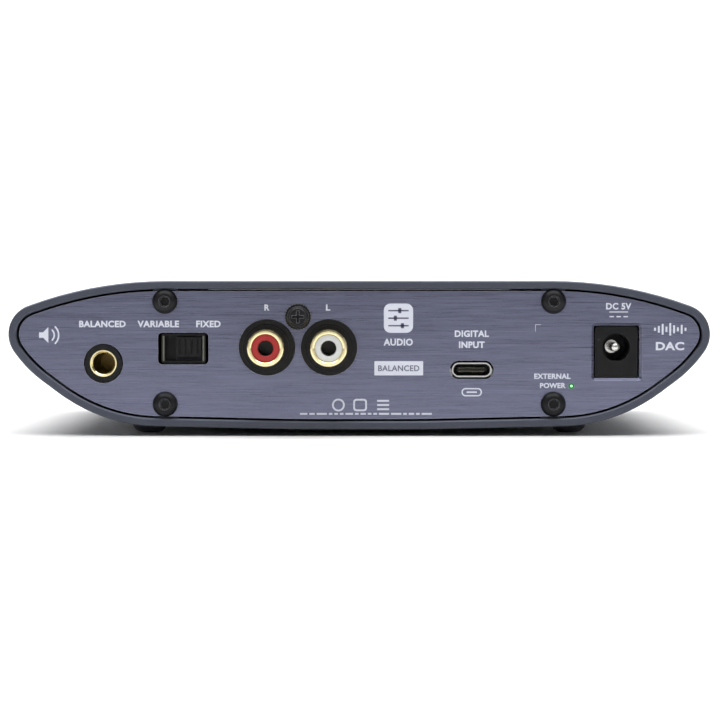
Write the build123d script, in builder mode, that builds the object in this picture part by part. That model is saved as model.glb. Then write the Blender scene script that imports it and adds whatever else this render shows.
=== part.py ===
from build123d import *
from math import atan2, hypot, pi, tan
import os

os.makedirs("parts", exist_ok=True)

# Desktop DAC.  The rear panel with its sockets faces +Y, the knob side faces -Y, +Z is up.
# The origin lies on the table, in the middle of the overall width and depth.  Millimetres.

# ---------------------------------------------------------------- overall sizes
overall_width = 158.0
overall_height = 35.0
shell_length = 100.0
knob_stand_out = 10.0
rca_stand_out = 7.0
foot_gap = 1.5

half_width = overall_width / 2
overall_depth = shell_length + knob_stand_out + rca_stand_out
front_y = -overall_depth / 2 + knob_stand_out
rear_y = overall_depth / 2 - rca_stand_out
body_height = overall_height - foot_gap

# ---------------------------------------------------------------- shell section
wall = 1.8
nose_radius = 6.85
chin_radius = 28.0
bilge_radius = 38.0
belly_radius = 400.0
roof_corner_in = 19.8
brow_corner_out = 3.93
chin_corner_in = 4.02
bilge_corner_in = 20.9
belly_half_width = 13.8
belly_rise = 0.95
straight_brow = 0.6
rim_chamfer = 0.25

# heights of the section's corners: the widest place stays at two thirds of the body
brow_z = foot_gap + body_height * 0.742
chin_z = foot_gap + body_height * 0.4065
bilge_z = foot_gap + 0.05 + belly_rise
belly_z = foot_gap + 0.05

# ---------------------------------------------------------------- panels
panel_recess = 1.0
rear_panel_gap = 0.5
fascia_gap = 0.25
sub_panel_gap = 0.02
rear_panel_thick = 1.5
fascia_thick = 2.0
glue_thick = 0.2
sub_panel_thick = 1.5

panel_face_y = rear_y - panel_recess
panel_back_y = panel_face_y - rear_panel_thick
fascia_face_y = front_y + panel_recess
fascia_back_y = fascia_face_y + fascia_thick
sub_panel_face_y = fascia_back_y + glue_thick
sub_panel_back_y = sub_panel_face_y + sub_panel_thick

# ---------------------------------------------------------------- screws and their ports
thread_diameter = 3.0
screw_shank_diameter = 2.95
screw_hole_diameter = 3.4
screw_length = 8.0
button_head_diameter = 5.65
button_head_height = 1.65
button_rim_height = 0.35
hex_socket = 2.0
socket_depth = 1.0
port_radius = 3.4
port_web_width = 5.44
countersink_diameter = 5.6
countersink_depth = 1.35

port_x = half_width - 35.2
port_high_z = overall_height - wall - button_head_diameter / 2
port_low_z = foot_gap + 5.7
port_places = [(sx * port_x, z) for sx in (-1, 1) for z in (port_low_z, port_high_z)]

# ---------------------------------------------------------------- main board and its rails
board_thick = 1.6
board_top_z = foot_gap + 11.8
board_side_gap = 14.0
board_rear_gap = 0.3
board_front_gap = 0.5
rail_thick = 1.2
rail_grip = 1.2
rail_clearance = 0.1

board_bottom_z = board_top_z - board_thick
board_half_width = half_width - board_side_gap
board_rear_y = panel_back_y - board_rear_gap
board_front_y = sub_panel_back_y + board_front_gap

# ---------------------------------------------------------------- rear sockets
axis_z = board_top_z + 6.7
screw_boss_rise = 6.9

rca_pitch = 14.0
rca_pair_x = half_width * 0.1747
rca_collar_diameter = 12.6
rca_collar_stand_out = 0.8
rca_groove_diameter = 10.9
rca_groove_width = 0.5
rca_groove_depth = 0.35
rca_sleeve_diameter = 8.3
rca_sleeve_bore = 6.2
rca_sleeve_lip = 0.35
rca_sleeve_foot_diameter = 7.8
rca_hole_diameter = 3.4
rca_hole_depth = 7.6
rca_insulator_set_back = 0.5
rca_contact_set_back = 1.6
rca_contact_wall = 0.3
rca_contact_floor = 0.6
rca_contact_slit = 0.6
rca_block_depth = 12.0
rca_block_margin = 0.6
rca_block_shoulder = 6.6
rca_floor_thick = 1.5
rca_screw_head_diameter = 6.0
rca_screw_head_height = 1.7
rca_screw_length = 7.0
rca_screw_teeth = 28

jack4_from_side = 21.3
jack4_drop = 3.6
jack4_nose_diameter = 8.4
jack4_cut_gap = 0.25
jack4_lip_diameter = 6.0
jack4_bore = 4.85
jack4_stand_out = 0.25
jack4_depth = 16.0
jack4_bore_depth = 15.0
jack4_lip_length = 1.6
jack4_body_width = 11.2
jack4_body_height = 9.2
jack4_low_width = 8.8
jack4_notch_gap = 0.2

switch_x = half_width * 0.5025
switch_z = axis_z - 0.25
switch_frame_width = 10.0
switch_frame_height = 6.7
switch_cut_side_gap = 0.7
switch_cut_end_gap = 0.25
switch_cut_radius = 1.0
switch_frame_depth = 3.8
switch_frame_sheet = 0.45
switch_frame_set_back = 0.9
switch_window_width = 8.4
switch_window_height = 5.7
switch_cheek_width = 0.4
switch_cheek_thick = 0.2
switch_travel = 2.5
slider_width = 5.5
slider_height = 5.0
slider_set_back = 0.35
slider_groove_width = 0.55
slider_groove_depth = 0.5
slider_grooves = 4
slider_low_chamfer = 0.7
carriage_thick = 1.2
carriage_gap = 0.15
switch_base_depth = 3.6
switch_base_tail = 0.9

usb_x = -half_width * 0.3215
usb_width = 8.94
usb_height = 3.26
usb_sheet = 0.3
usb_depth = 7.4
usb_set_back = 0.2
usb_cut_gap = 0.48
tongue_width = 6.69
tongue_thick = 0.7
tongue_set_back = 0.9
usb_plug_thick = 1.6
usb_pad_width = 0.25
usb_pad_pitch = 0.5
usb_pad_count = 12
usb_pad_thick = 0.05

dc_from_side = 20.9
dc_body_width = 9.6
dc_body_height = 11.4
dc_body_depth = 14.0
dc_set_back = 0.9
dc_hole_diameter = 6.3
dc_hole_depth = 9.5
dc_pin_diameter = 2.0
dc_pin_set_back = 0.9
dc_pin_root = 2.5
dc_spring_set_back = 1.8
dc_foot_ring_diameter = 3.0
dc_foot_ring_height = 0.6
dc_spring_width = 2.0
dc_spring_thick = 0.3
dc_cut_side_gap = 0.35
dc_cut_end_gap = 0.25
dc_cut_radius = 0.4
dc_cut_bevel = 0.6

status_lens_diameter = 1.4
status_lens_from_side = 31.1
status_lens_drop = 0.4

# ---------------------------------------------------------------- front controls
knob_diameter = 24.0
knob_gap = 0.4
knob_rim_radius = 1.2
knob_hollow_diameter = 16.0
knob_hollow_depth = 4.2
knob_hub_bore = 6.0
knob_hub_depth = 5.5
knob_pointer_width = 1.2
knob_pointer_length = 6.0
knob_pointer_depth = 0.4
set_screw_diameter = 3.0
set_screw_length = 4.0
set_screw_hex = 1.5
pointer_from_rim = 2.0
knob_hub_open = 2.0

pot_body_width = 12.0
pot_body_height = 12.0
pot_body_depth = 7.0
pot_bush_diameter = 7.0
pot_bush_bore = 6.6
pot_bush_length = 4.4
pot_shaft_diameter = 6.0
pot_washer_diameter = 11.0
pot_washer_thick = 0.5
pot_nut_across = 10.0
pot_nut_thick = 2.0
pot_window_diameter = 13.0

button_diameter = 8.0
button_gap = 0.35
button_stand_out = 1.2
button_flange_diameter = 9.8
button_flange_thick = 1.0
button_flange_gap = 0.3
button_travel = 1.0
button_stem_diameter = 3.0
button_pitch = 15.9964
power_button_x = -(half_width - 26.0)
gain_button_x = power_button_x + button_pitch
tact_body_width = 7.4
tact_body_height = 10.4
tact_body_depth = 4.2
tact_bore_depth = 3.0
tact_face_from_panel = 5.0
stem_engagement = 1.4

front_lens_diameter = 1.8
front_lens_length = 6.5
front_lens_offset = 8.0
diode_width = 3.2
diode_depth = 2.0
diode_top_rise = 1.6

jack6_from_port = 14.807
jack6_x = port_x - jack6_from_port
jack6_body_width = 15.6
jack6_body_height = 14.0
jack6_body_depth = 26.0
jack6_nose_diameter = 11.0
jack6_bush_diameter = 9.6
jack6_bore = 6.45
jack6_bush_length = 12.0
jack6_stand_out = 0.4

front_jack4_x = half_width - 27.0
front_jack4_width = 12.0

# ---------------------------------------------------------------- parts on the board
power_side_x = -(board_half_width - 19.18)
output_side_x = board_half_width - 31.82
usb_controller_x = power_side_x + 26.4215
clock_x = usb_controller_x + 11.3985
power_can_diameter = 10.0
power_can_height = 12.5
power_can_pitch = 11.5
audio_can_diameter = 6.3
audio_can_height = 11.0
audio_can_pitch = 8.0
film_pitch = 9.0
chip_pitch = 10.0
inductor_size = 6.6

# ---------------------------------------------------------------- feet
foot_diameter = 8.0
foot_flat_diameter = 3.4
foot_x = half_width - 30.3
foot_from_rear = 15.0
foot_height = 3.2
foot_shoulder = 2.0


def across(y):
    """A plane across the body at the depth y: its x is the body's X, its y is up."""
    return Plane(origin=(0, y, 0), x_dir=(1, 0, 0), z_dir=(0, -1, 0))


def level(z):
    """A level plane at the height z."""
    return Plane.XY.offset(z)


def section(inset):
    """The boat-shaped outline of the body, moved inwards by the inset."""
    roof_end = half_width - roof_corner_in
    brow_end = half_width + brow_corner_out
    chin_end = half_width - chin_corner_in
    roof_slope = atan2(overall_height - brow_z, brow_end - roof_end)
    nose_slope = pi - atan2(brow_z - chin_z, brow_end - chin_end)
    nose_reach = nose_radius * tan((nose_slope - roof_slope) / 2)
    roof_edge = hypot(overall_height - brow_z, brow_end - roof_end)
    roof_radius = (roof_edge - nose_reach - straight_brow) / tan(roof_slope / 2)
    right_side = [
        (roof_end, overall_height, roof_radius),
        (brow_end, brow_z, nose_radius),
        (chin_end, chin_z, chin_radius),
        (half_width - bilge_corner_in, bilge_z, bilge_radius),
        (belly_half_width, belly_z, belly_radius),
    ]
    corners = right_side + [(-x, z, r) for x, z, r in reversed(right_side)]
    with BuildSketch() as outline:
        with BuildLine():
            FilletPolyline(*[(x, z) for x, z, r in corners], radius=[r for x, z, r in corners], close=True)
        make_face()
        if inset > 0:
            offset(amount=-inset)
    return outline.sketch


def turned(x, z, profile):
    """A piece turned about the fore-and-aft line through x, z: the profile is (radius, y)."""
    with BuildPart() as piece:
        with BuildSketch(Plane(origin=(x, 0, z))):
            with BuildLine():
                Polyline(*profile, close=True)
            make_face()
        revolve(axis=Axis((x, 0, z), (0, 1, 0)))
    return piece.part


def block(x, y, z, width, depth, height):
    """A block that stands on the level z, centred on x, y."""
    with BuildPart() as piece:
        with BuildSketch(level(z)):
            with Locations((x, y)):
                Rectangle(width, depth)
        extrude(amount=height)
    return piece.part


# ================================================================ shell
with BuildPart() as shell:
    with BuildSketch(across(rear_y)):
        add(section(0))
        add(section(wall), mode=Mode.SUBTRACT)
    extrude(amount=shell_length)
    # screw ports and board rails run between the two panels
    with BuildSketch(across(panel_back_y)):
        for sx in (-1, 1):
            with Locations((sx * port_x, port_high_z)):
                Circle(port_radius)
                Rectangle(port_web_width, overall_height, align=(Align.CENTER, Align.MIN))
            with Locations((sx * port_x, port_low_z)):
                Circle(port_radius)
                Rectangle(port_web_width, overall_height, align=(Align.CENTER, Align.MAX))
            with Locations((sx * (board_half_width - rail_grip), board_bottom_z - rail_thick)):
                Rectangle(
                    half_width,
                    board_thick + rail_thick * 2 + rail_clearance,
                    align=(Align.MIN if sx > 0 else Align.MAX, Align.MIN),
                )
        add(section(wall / 2), mode=Mode.INTERSECT)
        with Locations((0, board_bottom_z)):
            Rectangle(
                (board_half_width + rail_clearance) * 2,
                board_thick + rail_clearance,
                align=(Align.CENTER, Align.MIN),
                mode=Mode.SUBTRACT,
            )
        with Locations(*port_places):
            Circle(thread_diameter / 2, mode=Mode.SUBTRACT)
    extrude(amount=panel_back_y - sub_panel_back_y)
    end_rims = shell.edges().filter_by(
        lambda e: abs(e.center().Y - rear_y) < 0.01 or abs(e.center().Y - front_y) < 0.01
    )
    chamfer(end_rims, length=rim_chamfer)
shell.part.label = "shell"
export_step(shell.part, "parts/shell.step")

# ================================================================ rear panel
rca_xs = [rca_pair_x - rca_pitch / 2, rca_pair_x + rca_pitch / 2]
rca_screw_z = axis_z + screw_boss_rise
jack4_x = half_width - jack4_from_side
jack4_z = axis_z - jack4_drop
usb_z = board_top_z + usb_height / 2
dc_x = -(half_width - dc_from_side)
status_lens_x = -(half_width - status_lens_from_side)
status_lens_z = board_bottom_z - status_lens_drop
dc_middle_z = board_top_z + dc_body_height / 2

with BuildPart() as rear_panel:
    with BuildSketch(across(panel_face_y)):
        add(section(wall + rear_panel_gap))
        with Locations(*port_places):
            Circle(screw_hole_diameter / 2, mode=Mode.SUBTRACT)
        with Locations(*[(x, axis_z) for x in rca_xs]):
            Circle(rca_collar_diameter / 2 + 0.1, mode=Mode.SUBTRACT)
        with Locations((rca_pair_x, rca_screw_z)):
            Circle(screw_hole_diameter / 2, mode=Mode.SUBTRACT)
        with Locations((jack4_x, jack4_z)):
            Circle(jack4_nose_diameter / 2 + jack4_cut_gap, mode=Mode.SUBTRACT)
        with Locations((switch_x, switch_z)):
            RectangleRounded(
                switch_frame_width + switch_cut_side_gap * 2,
                switch_frame_height + switch_cut_end_gap * 2,
                switch_cut_radius,
                mode=Mode.SUBTRACT,
            )
        with Locations((usb_x, usb_z)):
            RectangleRounded(
                usb_width + usb_cut_gap * 2,
                usb_height + usb_cut_gap * 2,
                (usb_height + usb_cut_gap * 2) / 2 - 0.05,
                mode=Mode.SUBTRACT,
            )
        with Locations((dc_x, dc_middle_z)):
            RectangleRounded(
                dc_body_width + dc_cut_side_gap * 2,
                dc_body_height + dc_cut_end_gap * 2,
                dc_cut_radius,
                mode=Mode.SUBTRACT,
            )
        with Locations((status_lens_x, status_lens_z)):
            Circle(status_lens_diameter / 2, mode=Mode.SUBTRACT)
    extrude(amount=rear_panel_thick)
    # the cut-out around the DC inlet is bevelled on the outside
    dc_rim = rear_panel.edges().filter_by_position(Axis.Y, panel_face_y - 0.01, panel_face_y + 0.01)
    dc_rim = dc_rim.filter_by_position(Axis.X, dc_x - dc_body_width, dc_x + dc_body_width)
    dc_rim = dc_rim.filter_by_position(
        Axis.Z, dc_middle_z - dc_body_height * 0.6, dc_middle_z + dc_body_height * 0.6
    )
    chamfer(dc_rim, length=dc_cut_bevel)
rear_panel.part.label = "rear_panel"
export_step(rear_panel.part, "parts/rear_panel.step")

with BuildPart() as rear_panel_screws:
    head_r = button_head_diameter / 2
    head_rim_y = panel_face_y + button_rim_height
    head_top_y = panel_face_y + button_head_height
    for x, z in port_places:
        with BuildSketch(Plane(origin=(x, 0, z))):
            with BuildLine():
                Polyline(
                    (0, head_top_y),
                    (0, panel_face_y - screw_length),
                    (screw_shank_diameter / 2, panel_face_y - screw_length),
                    (screw_shank_diameter / 2, panel_face_y),
                    (head_r, panel_face_y),
                    (head_r, head_rim_y),
                )
                ThreePointArc(
                    (head_r, head_rim_y),
                    (head_r * 0.8, head_rim_y + (head_top_y - head_rim_y) * 0.66),
                    (head_r * 0.45, head_top_y),
                )
                Line((head_r * 0.45, head_top_y), (0, head_top_y))
            make_face()
        revolve(axis=Axis((x, 0, z), (0, 1, 0)))
    with BuildSketch(across(panel_face_y + button_head_height)):
        with Locations(*port_places):
            RegularPolygon(hex_socket / 2, 6, major_radius=False)
    extrude(amount=socket_depth, mode=Mode.SUBTRACT)
    for x, z in port_places:
        with BuildSketch(across(panel_face_y + button_head_height)):
            with Locations((x, z)):
                Circle(hex_socket * 0.62)
        extrude(amount=0.3, taper=40, mode=Mode.SUBTRACT)
rear_panel_screws.part.label = "rear_panel_screws"
export_step(rear_panel_screws.part, "parts/rear_panel_screws.step")

# ================================================================ RCA pair
collar_face_y = panel_face_y + rca_collar_stand_out
rca_tip_y = rear_y + rca_stand_out
insulator_face_y = rca_tip_y - rca_insulator_set_back
contact_mouth_y = insulator_face_y - rca_contact_set_back
rca_hole_end_y = insulator_face_y - rca_hole_depth
rca_block_top_z = rca_screw_z + screw_hole_diameter
sleeve_foot_y = rca_hole_end_y - rca_floor_thick

with BuildPart() as rca_block:
    rca_block_width = rca_pitch + rca_collar_diameter + rca_block_margin * 2
    with BuildSketch(across(panel_back_y)):
        with Locations((rca_pair_x, board_top_z)):
            Rectangle(
                rca_block_width,
                axis_z + rca_block_shoulder - board_top_z,
                align=(Align.CENTER, Align.MIN),
            )
        with Locations((rca_pair_x, rca_screw_z)):
            Rectangle(screw_hole_diameter * 2.4, (rca_block_top_z - rca_screw_z) * 2)
    extrude(amount=rca_block_depth)
    with BuildSketch(across(collar_face_y)):
        with Locations(*[(x, axis_z) for x in rca_xs]):
            Circle(rca_collar_diameter / 2)
    extrude(amount=collar_face_y - panel_back_y)
    with BuildSketch(across(collar_face_y)):
        with Locations(*[(x, axis_z) for x in rca_xs]):
            Circle(rca_groove_diameter / 2)
            Circle(rca_groove_diameter / 2 - rca_groove_width, mode=Mode.SUBTRACT)
    extrude(amount=rca_groove_depth, mode=Mode.SUBTRACT)
    with BuildSketch(across(collar_face_y)):
        with Locations(*[(x, axis_z) for x in rca_xs]):
            Circle(rca_sleeve_foot_diameter / 2)
    extrude(amount=collar_face_y - sleeve_foot_y, mode=Mode.SUBTRACT)
    with BuildSketch(across(panel_back_y)):
        with Locations((rca_pair_x, rca_screw_z)):
            Circle(thread_diameter / 2)
    extrude(amount=rca_screw_length, mode=Mode.SUBTRACT)
rca_block.part.label = "rca_block"
export_step(rca_block.part, "parts/rca_block.step")

with BuildPart() as rca_sleeves:
    for x in rca_xs:
        add(turned(
            x,
            axis_z,
            [
                (rca_sleeve_bore / 2, sleeve_foot_y),
                (rca_sleeve_foot_diameter / 2, sleeve_foot_y),
                (rca_sleeve_foot_diameter / 2, collar_face_y),
                (rca_sleeve_diameter / 2, collar_face_y),
                (rca_sleeve_diameter / 2, rca_tip_y - rca_sleeve_lip),
                (rca_sleeve_diameter / 2 - rca_sleeve_lip * 0.4, rca_tip_y - rca_sleeve_lip * 0.2),
                (rca_sleeve_diameter / 2 - rca_sleeve_lip, rca_tip_y),
                (rca_sleeve_bore / 2 + rca_sleeve_lip, rca_tip_y),
                (rca_sleeve_bore / 2 + rca_sleeve_lip * 0.3, rca_tip_y - rca_sleeve_lip * 0.4),
                (rca_sleeve_bore / 2, rca_tip_y - rca_sleeve_lip * 1.2),
            ],
        ))
rca_sleeves.part.label = "rca_sleeves"
export_step(rca_sleeves.part, "parts/rca_sleeves.step")


def insulator(x):
    """The coloured plastic core of one RCA socket, with its plug hole."""
    return turned(
        x,
        axis_z,
        [
            (0, sleeve_foot_y),
            (rca_sleeve_bore / 2, sleeve_foot_y),
            (rca_sleeve_bore / 2, insulator_face_y - 0.15),
            (rca_sleeve_bore / 2 - 0.15, insulator_face_y),
            (rca_hole_diameter / 2 + 0.2, insulator_face_y),
            (rca_hole_diameter / 2, insulator_face_y - 0.2),
            (rca_hole_diameter / 2, contact_mouth_y),
            (rca_hole_diameter / 2 + rca_contact_wall, contact_mouth_y),
            (rca_hole_diameter / 2 + rca_contact_wall, rca_hole_end_y),
            (0, rca_hole_end_y),
        ],
    )


with BuildPart() as rca_insulator_red:
    add(insulator(rca_xs[1]))
rca_insulator_red.part.label = "rca_insulator_red"
export_step(rca_insulator_red.part, "parts/rca_insulator_red.step")

with BuildPart() as rca_insulator_white:
    add(insulator(rca_xs[0]))
rca_insulator_white.part.label = "rca_insulator_white"
export_step(rca_insulator_white.part, "parts/rca_insulator_white.step")

with BuildPart() as rca_centre_contacts:
    contact_r = rca_hole_diameter / 2 + rca_contact_wall
    with BuildSketch(across(contact_mouth_y)):
        for x in rca_xs:
            with Locations((x, axis_z)):
                Circle(contact_r)
                Circle(rca_hole_diameter / 2, mode=Mode.SUBTRACT)
                Rectangle(rca_contact_slit, contact_r * 2, mode=Mode.SUBTRACT)
    extrude(amount=contact_mouth_y - rca_hole_end_y - rca_contact_floor)
    with BuildSketch(across(rca_hole_end_y + rca_contact_floor)):
        with Locations(*[(x, axis_z) for x in rca_xs]):
            Circle(contact_r)
    extrude(amount=rca_contact_floor)
rca_centre_contacts.part.label = "rca_centre_contacts"
export_step(rca_centre_contacts.part, "parts/rca_centre_contacts.step")

with BuildPart() as rca_screw:
    head = rca_screw_head_diameter / 2
    add(turned(
        rca_pair_x,
        rca_screw_z,
        [
            (0, panel_face_y - rca_screw_length),
            (screw_shank_diameter / 2, panel_face_y - rca_screw_length),
            (screw_shank_diameter / 2, panel_face_y),
            (head, panel_face_y),
            (head, panel_face_y + 0.45),
            (head * 0.8, panel_face_y + 0.6),
            (head * 0.74, panel_face_y + rca_screw_head_height * 0.85),
            (head * 0.62, panel_face_y + rca_screw_head_height),
            (0, panel_face_y + rca_screw_head_height),
        ],
    ))
    with BuildSketch(across(panel_face_y + rca_screw_head_height)):
        with Locations((rca_pair_x, rca_screw_z)):
            Rectangle(head * 0.92, head * 0.2)
            Rectangle(head * 0.2, head * 0.92)
    extrude(amount=1.0, mode=Mode.SUBTRACT)
    # fine teeth around the washer's rim
    with BuildSketch(across(panel_face_y + rca_screw_head_height)):
        with Locations((rca_pair_x, rca_screw_z)):
            with PolarLocations(head + 0.05, rca_screw_teeth):
                Circle(0.17)
    extrude(amount=rca_screw_head_height - 0.1, mode=Mode.SUBTRACT)
rca_screw.part.label = "rca_screw"
export_step(rca_screw.part, "parts/rca_screw.step")

# ================================================================ rear 4.4 mm jack
with BuildPart() as rear_jack4_body:
    nose_face_y = panel_face_y + jack4_stand_out
    with BuildSketch(across(panel_back_y)):
        with Locations((jack4_x, board_top_z)):
            Rectangle(jack4_body_width, jack4_body_height, align=(Align.CENTER, Align.MIN))
        with Locations((jack4_x, jack4_z)):
            Rectangle(jack4_low_width, jack4_nose_diameter)
    extrude(amount=jack4_depth)
    with BuildSketch(across(nose_face_y)):
        with Locations((jack4_x, jack4_z)):
            Circle(jack4_nose_diameter / 2)
    extrude(amount=nose_face_y - panel_back_y)
    with BuildSketch(across(nose_face_y)):
        with Locations((jack4_x, jack4_z)):
            Circle(jack4_lip_diameter / 2)
    extrude(amount=jack4_lip_length, mode=Mode.SUBTRACT)
    with BuildSketch(across(nose_face_y)):
        with Locations((jack4_x, jack4_z)):
            Circle(jack4_bore / 2)
    extrude(amount=jack4_bore_depth, mode=Mode.SUBTRACT)
rear_jack4_body.part.label = "rear_jack4_body"
export_step(rear_jack4_body.part, "parts/rear_jack4_body.step")

with BuildPart() as rear_jack4_bush:
    add(turned(
        jack4_x,
        jack4_z,
        [
            (jack4_bore / 2, nose_face_y - jack4_lip_length),
            (jack4_lip_diameter / 2, nose_face_y - jack4_lip_length),
            (jack4_lip_diameter / 2, nose_face_y),
            (jack4_bore / 2 + 0.3, nose_face_y),
            (jack4_bore / 2, nose_face_y - 0.3),
        ],
    ))
rear_jack4_bush.part.label = "rear_jack4_bush"
export_step(rear_jack4_bush.part, "parts/rear_jack4_bush.step")

# ================================================================ output slide switch
switch_face_y = panel_face_y - switch_frame_set_back
switch_base_face_y = switch_face_y - switch_frame_sheet - carriage_gap * 2 - carriage_thick
switch_low_z = switch_z - switch_frame_height / 2
slider_rest_x = switch_x - switch_travel / 2

with BuildPart() as switch_base:
    base_width = switch_frame_width - switch_frame_sheet * 2
    base_height = switch_frame_height - switch_frame_sheet * 2
    with BuildSketch(across(switch_base_face_y)):
        with Locations((switch_x, switch_z)):
            Rectangle(base_width, base_height)
    extrude(amount=switch_base_depth)
    foot_depth = switch_base_depth - switch_base_tail
    foot_face_y = switch_base_face_y - switch_base_depth + foot_depth
    add(block(
        switch_x,
        switch_base_face_y - switch_base_depth + foot_depth / 2,
        board_top_z,
        base_width,
        foot_depth,
        switch_z - board_top_z,
    ))
switch_base.part.label = "switch_base"
export_step(switch_base.part, "parts/switch_base.step")

with BuildPart() as switch_frame:
    with BuildSketch(across(switch_face_y)):
        with Locations((switch_x, switch_z)):
            RectangleRounded(switch_frame_width, switch_frame_height, 0.5)
    extrude(amount=switch_frame_depth)
    with BuildSketch(across(switch_face_y - switch_frame_sheet)):
        with Locations((switch_x, switch_z)):
            Rectangle(base_width, base_height)
    extrude(amount=switch_frame_depth, mode=Mode.SUBTRACT)
    with BuildSketch(across(switch_face_y)):
        with Locations((switch_x, switch_z)):
            Rectangle(switch_window_width, switch_window_height)
    extrude(amount=switch_frame_sheet, mode=Mode.SUBTRACT)
    # the foot of the base passes out through the open bottom of the frame
    with BuildSketch(level(switch_low_z)):
        with Locations((switch_x, foot_face_y)):
            Rectangle(base_width, switch_frame_depth, align=(Align.CENTER, Align.MAX))
    extrude(amount=switch_frame_sheet, mode=Mode.SUBTRACT)
switch_frame.part.label = "switch_frame"
export_step(switch_frame.part, "parts/switch_frame.step")

with BuildPart() as switch_cheeks:
    with BuildSketch(across(switch_face_y + switch_cheek_thick)):
        with Locations((switch_x, switch_z)):
            with GridLocations(switch_window_width + switch_cheek_width + 0.2, 1, 2, 1):
                Rectangle(switch_cheek_width, switch_window_height)
    extrude(amount=switch_cheek_thick)
switch_cheeks.part.label = "switch_cheeks"
export_step(switch_cheeks.part, "parts/switch_cheeks.step")

with BuildPart() as switch_slider:
    slider_face_y = panel_face_y - slider_set_back
    carriage_face_y = switch_base_face_y + carriage_gap + carriage_thick
    carriage_width = base_width - switch_travel - 0.6
    with BuildSketch(across(slider_face_y)):
        with Locations((slider_rest_x, switch_z)):
            Rectangle(slider_width, slider_height)
    extrude(amount=slider_face_y - carriage_face_y + carriage_thick)
    with BuildSketch(across(carriage_face_y)):
        with Locations((slider_rest_x, switch_z)):
            Rectangle(carriage_width, base_height - 0.4)
    extrude(amount=carriage_thick)
    groove_pitch = slider_width / slider_grooves
    with BuildSketch(across(slider_face_y)):
        with Locations((slider_rest_x, switch_z + 0.45)):
            with GridLocations(groove_pitch, 1, slider_grooves, 1):
                Rectangle(slider_groove_width, slider_height * 0.66)
    extrude(amount=slider_groove_depth, mode=Mode.SUBTRACT)
    face_edges = switch_slider.edges().filter_by(Axis.X).group_by(Axis.Y)[-1]
    chamfer(face_edges.group_by(Axis.Z)[0], length=slider_low_chamfer)
switch_slider.part.label = "switch_slider"
export_step(switch_slider.part, "parts/switch_slider.step")

# ================================================================ USB-C inlet
usb_mouth_y = panel_face_y - usb_set_back
usb_back_y = usb_mouth_y - usb_depth
usb_bore_width = usb_width - usb_sheet * 2
usb_bore_height = usb_height - usb_sheet * 2
tongue_face_y = usb_mouth_y - tongue_set_back

with BuildPart() as usb_shell:
    with BuildSketch(across(usb_mouth_y)):
        with Locations((usb_x, usb_z)):
            RectangleRounded(usb_width, usb_height, usb_height / 2 - 0.05)
            RectangleRounded(
                usb_bore_width,
                usb_bore_height,
                usb_bore_height / 2 - 0.05,
                mode=Mode.SUBTRACT,
            )
    extrude(amount=usb_depth)
    # side tabs that are soldered to the board
    for sx in (-1, 1):
        for y in (usb_back_y + 1.2, usb_mouth_y - 2.8):
            add(block(usb_x + sx * (usb_width / 2 + 0.1), y, board_top_z, 0.6, 1.2, usb_height * 0.55))
usb_shell.part.label = "usb_shell"
export_step(usb_shell.part, "parts/usb_shell.step")

with BuildPart() as usb_tongue:
    with BuildSketch(across(usb_back_y + usb_plug_thick)):
        with Locations((usb_x, usb_z)):
            RectangleRounded(usb_bore_width, usb_bore_height, usb_bore_height / 2 - 0.05)
    extrude(amount=usb_plug_thick)
    with BuildSketch(across(tongue_face_y)):
        with Locations((usb_x, usb_z)):
            RectangleRounded(tongue_width, tongue_thick, tongue_thick / 2 - 0.05)
    extrude(amount=tongue_face_y - usb_back_y - usb_plug_thick)
usb_tongue.part.label = "usb_tongue"
export_step(usb_tongue.part, "parts/usb_tongue.step")

with BuildPart() as usb_pads:
    pad_length = tongue_face_y - usb_back_y - usb_plug_thick - 0.6
    pad_y = tongue_face_y - 0.4 - pad_length / 2
    for side in (0, 1):
        pad_z = usb_z + tongue_thick / 2 if side else usb_z - tongue_thick / 2 - usb_pad_thick
        with BuildSketch(level(pad_z)):
            with Locations((usb_x, pad_y)):
                with GridLocations(usb_pad_pitch, 1, usb_pad_count, 1):
                    Rectangle(usb_pad_width, pad_length)
        extrude(amount=usb_pad_thick)
usb_pads.part.label = "usb_pads"
export_step(usb_pads.part, "parts/usb_pads.step")

# ================================================================ DC inlet
dc_face_y = panel_face_y - dc_set_back
dc_hole_end_y = dc_face_y - dc_hole_depth

with BuildPart() as dc_jack_body:
    with BuildSketch(across(dc_face_y)):
        with Locations((dc_x, board_top_z)):
            Rectangle(dc_body_width, dc_body_height, align=(Align.CENTER, Align.MIN))
    extrude(amount=dc_body_depth)
    fillet(dc_jack_body.edges().filter_by(Axis.Y).group_by(Axis.Z)[-1], 0.8)
    with BuildSketch(across(dc_face_y)):
        with Locations((dc_x, axis_z)):
            Circle(dc_hole_diameter / 2)
    extrude(amount=dc_hole_depth, mode=Mode.SUBTRACT)
    with BuildSketch(across(dc_hole_end_y)):
        with Locations((dc_x, axis_z)):
            Circle(dc_pin_diameter / 2)
    extrude(amount=dc_pin_root, mode=Mode.SUBTRACT)
    # pocket of the spring contact in the floor of the hole
    with BuildSketch(across(dc_face_y - dc_spring_set_back)):
        with Locations((dc_x, axis_z - dc_hole_diameter / 2 - dc_spring_thick)):
            Rectangle(dc_spring_width, dc_spring_thick + 0.6, align=(Align.CENTER, Align.MIN))
    extrude(amount=dc_hole_depth - dc_spring_set_back, mode=Mode.SUBTRACT)
dc_jack_body.part.label = "dc_jack_body"
export_step(dc_jack_body.part, "parts/dc_jack_body.step")

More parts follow.
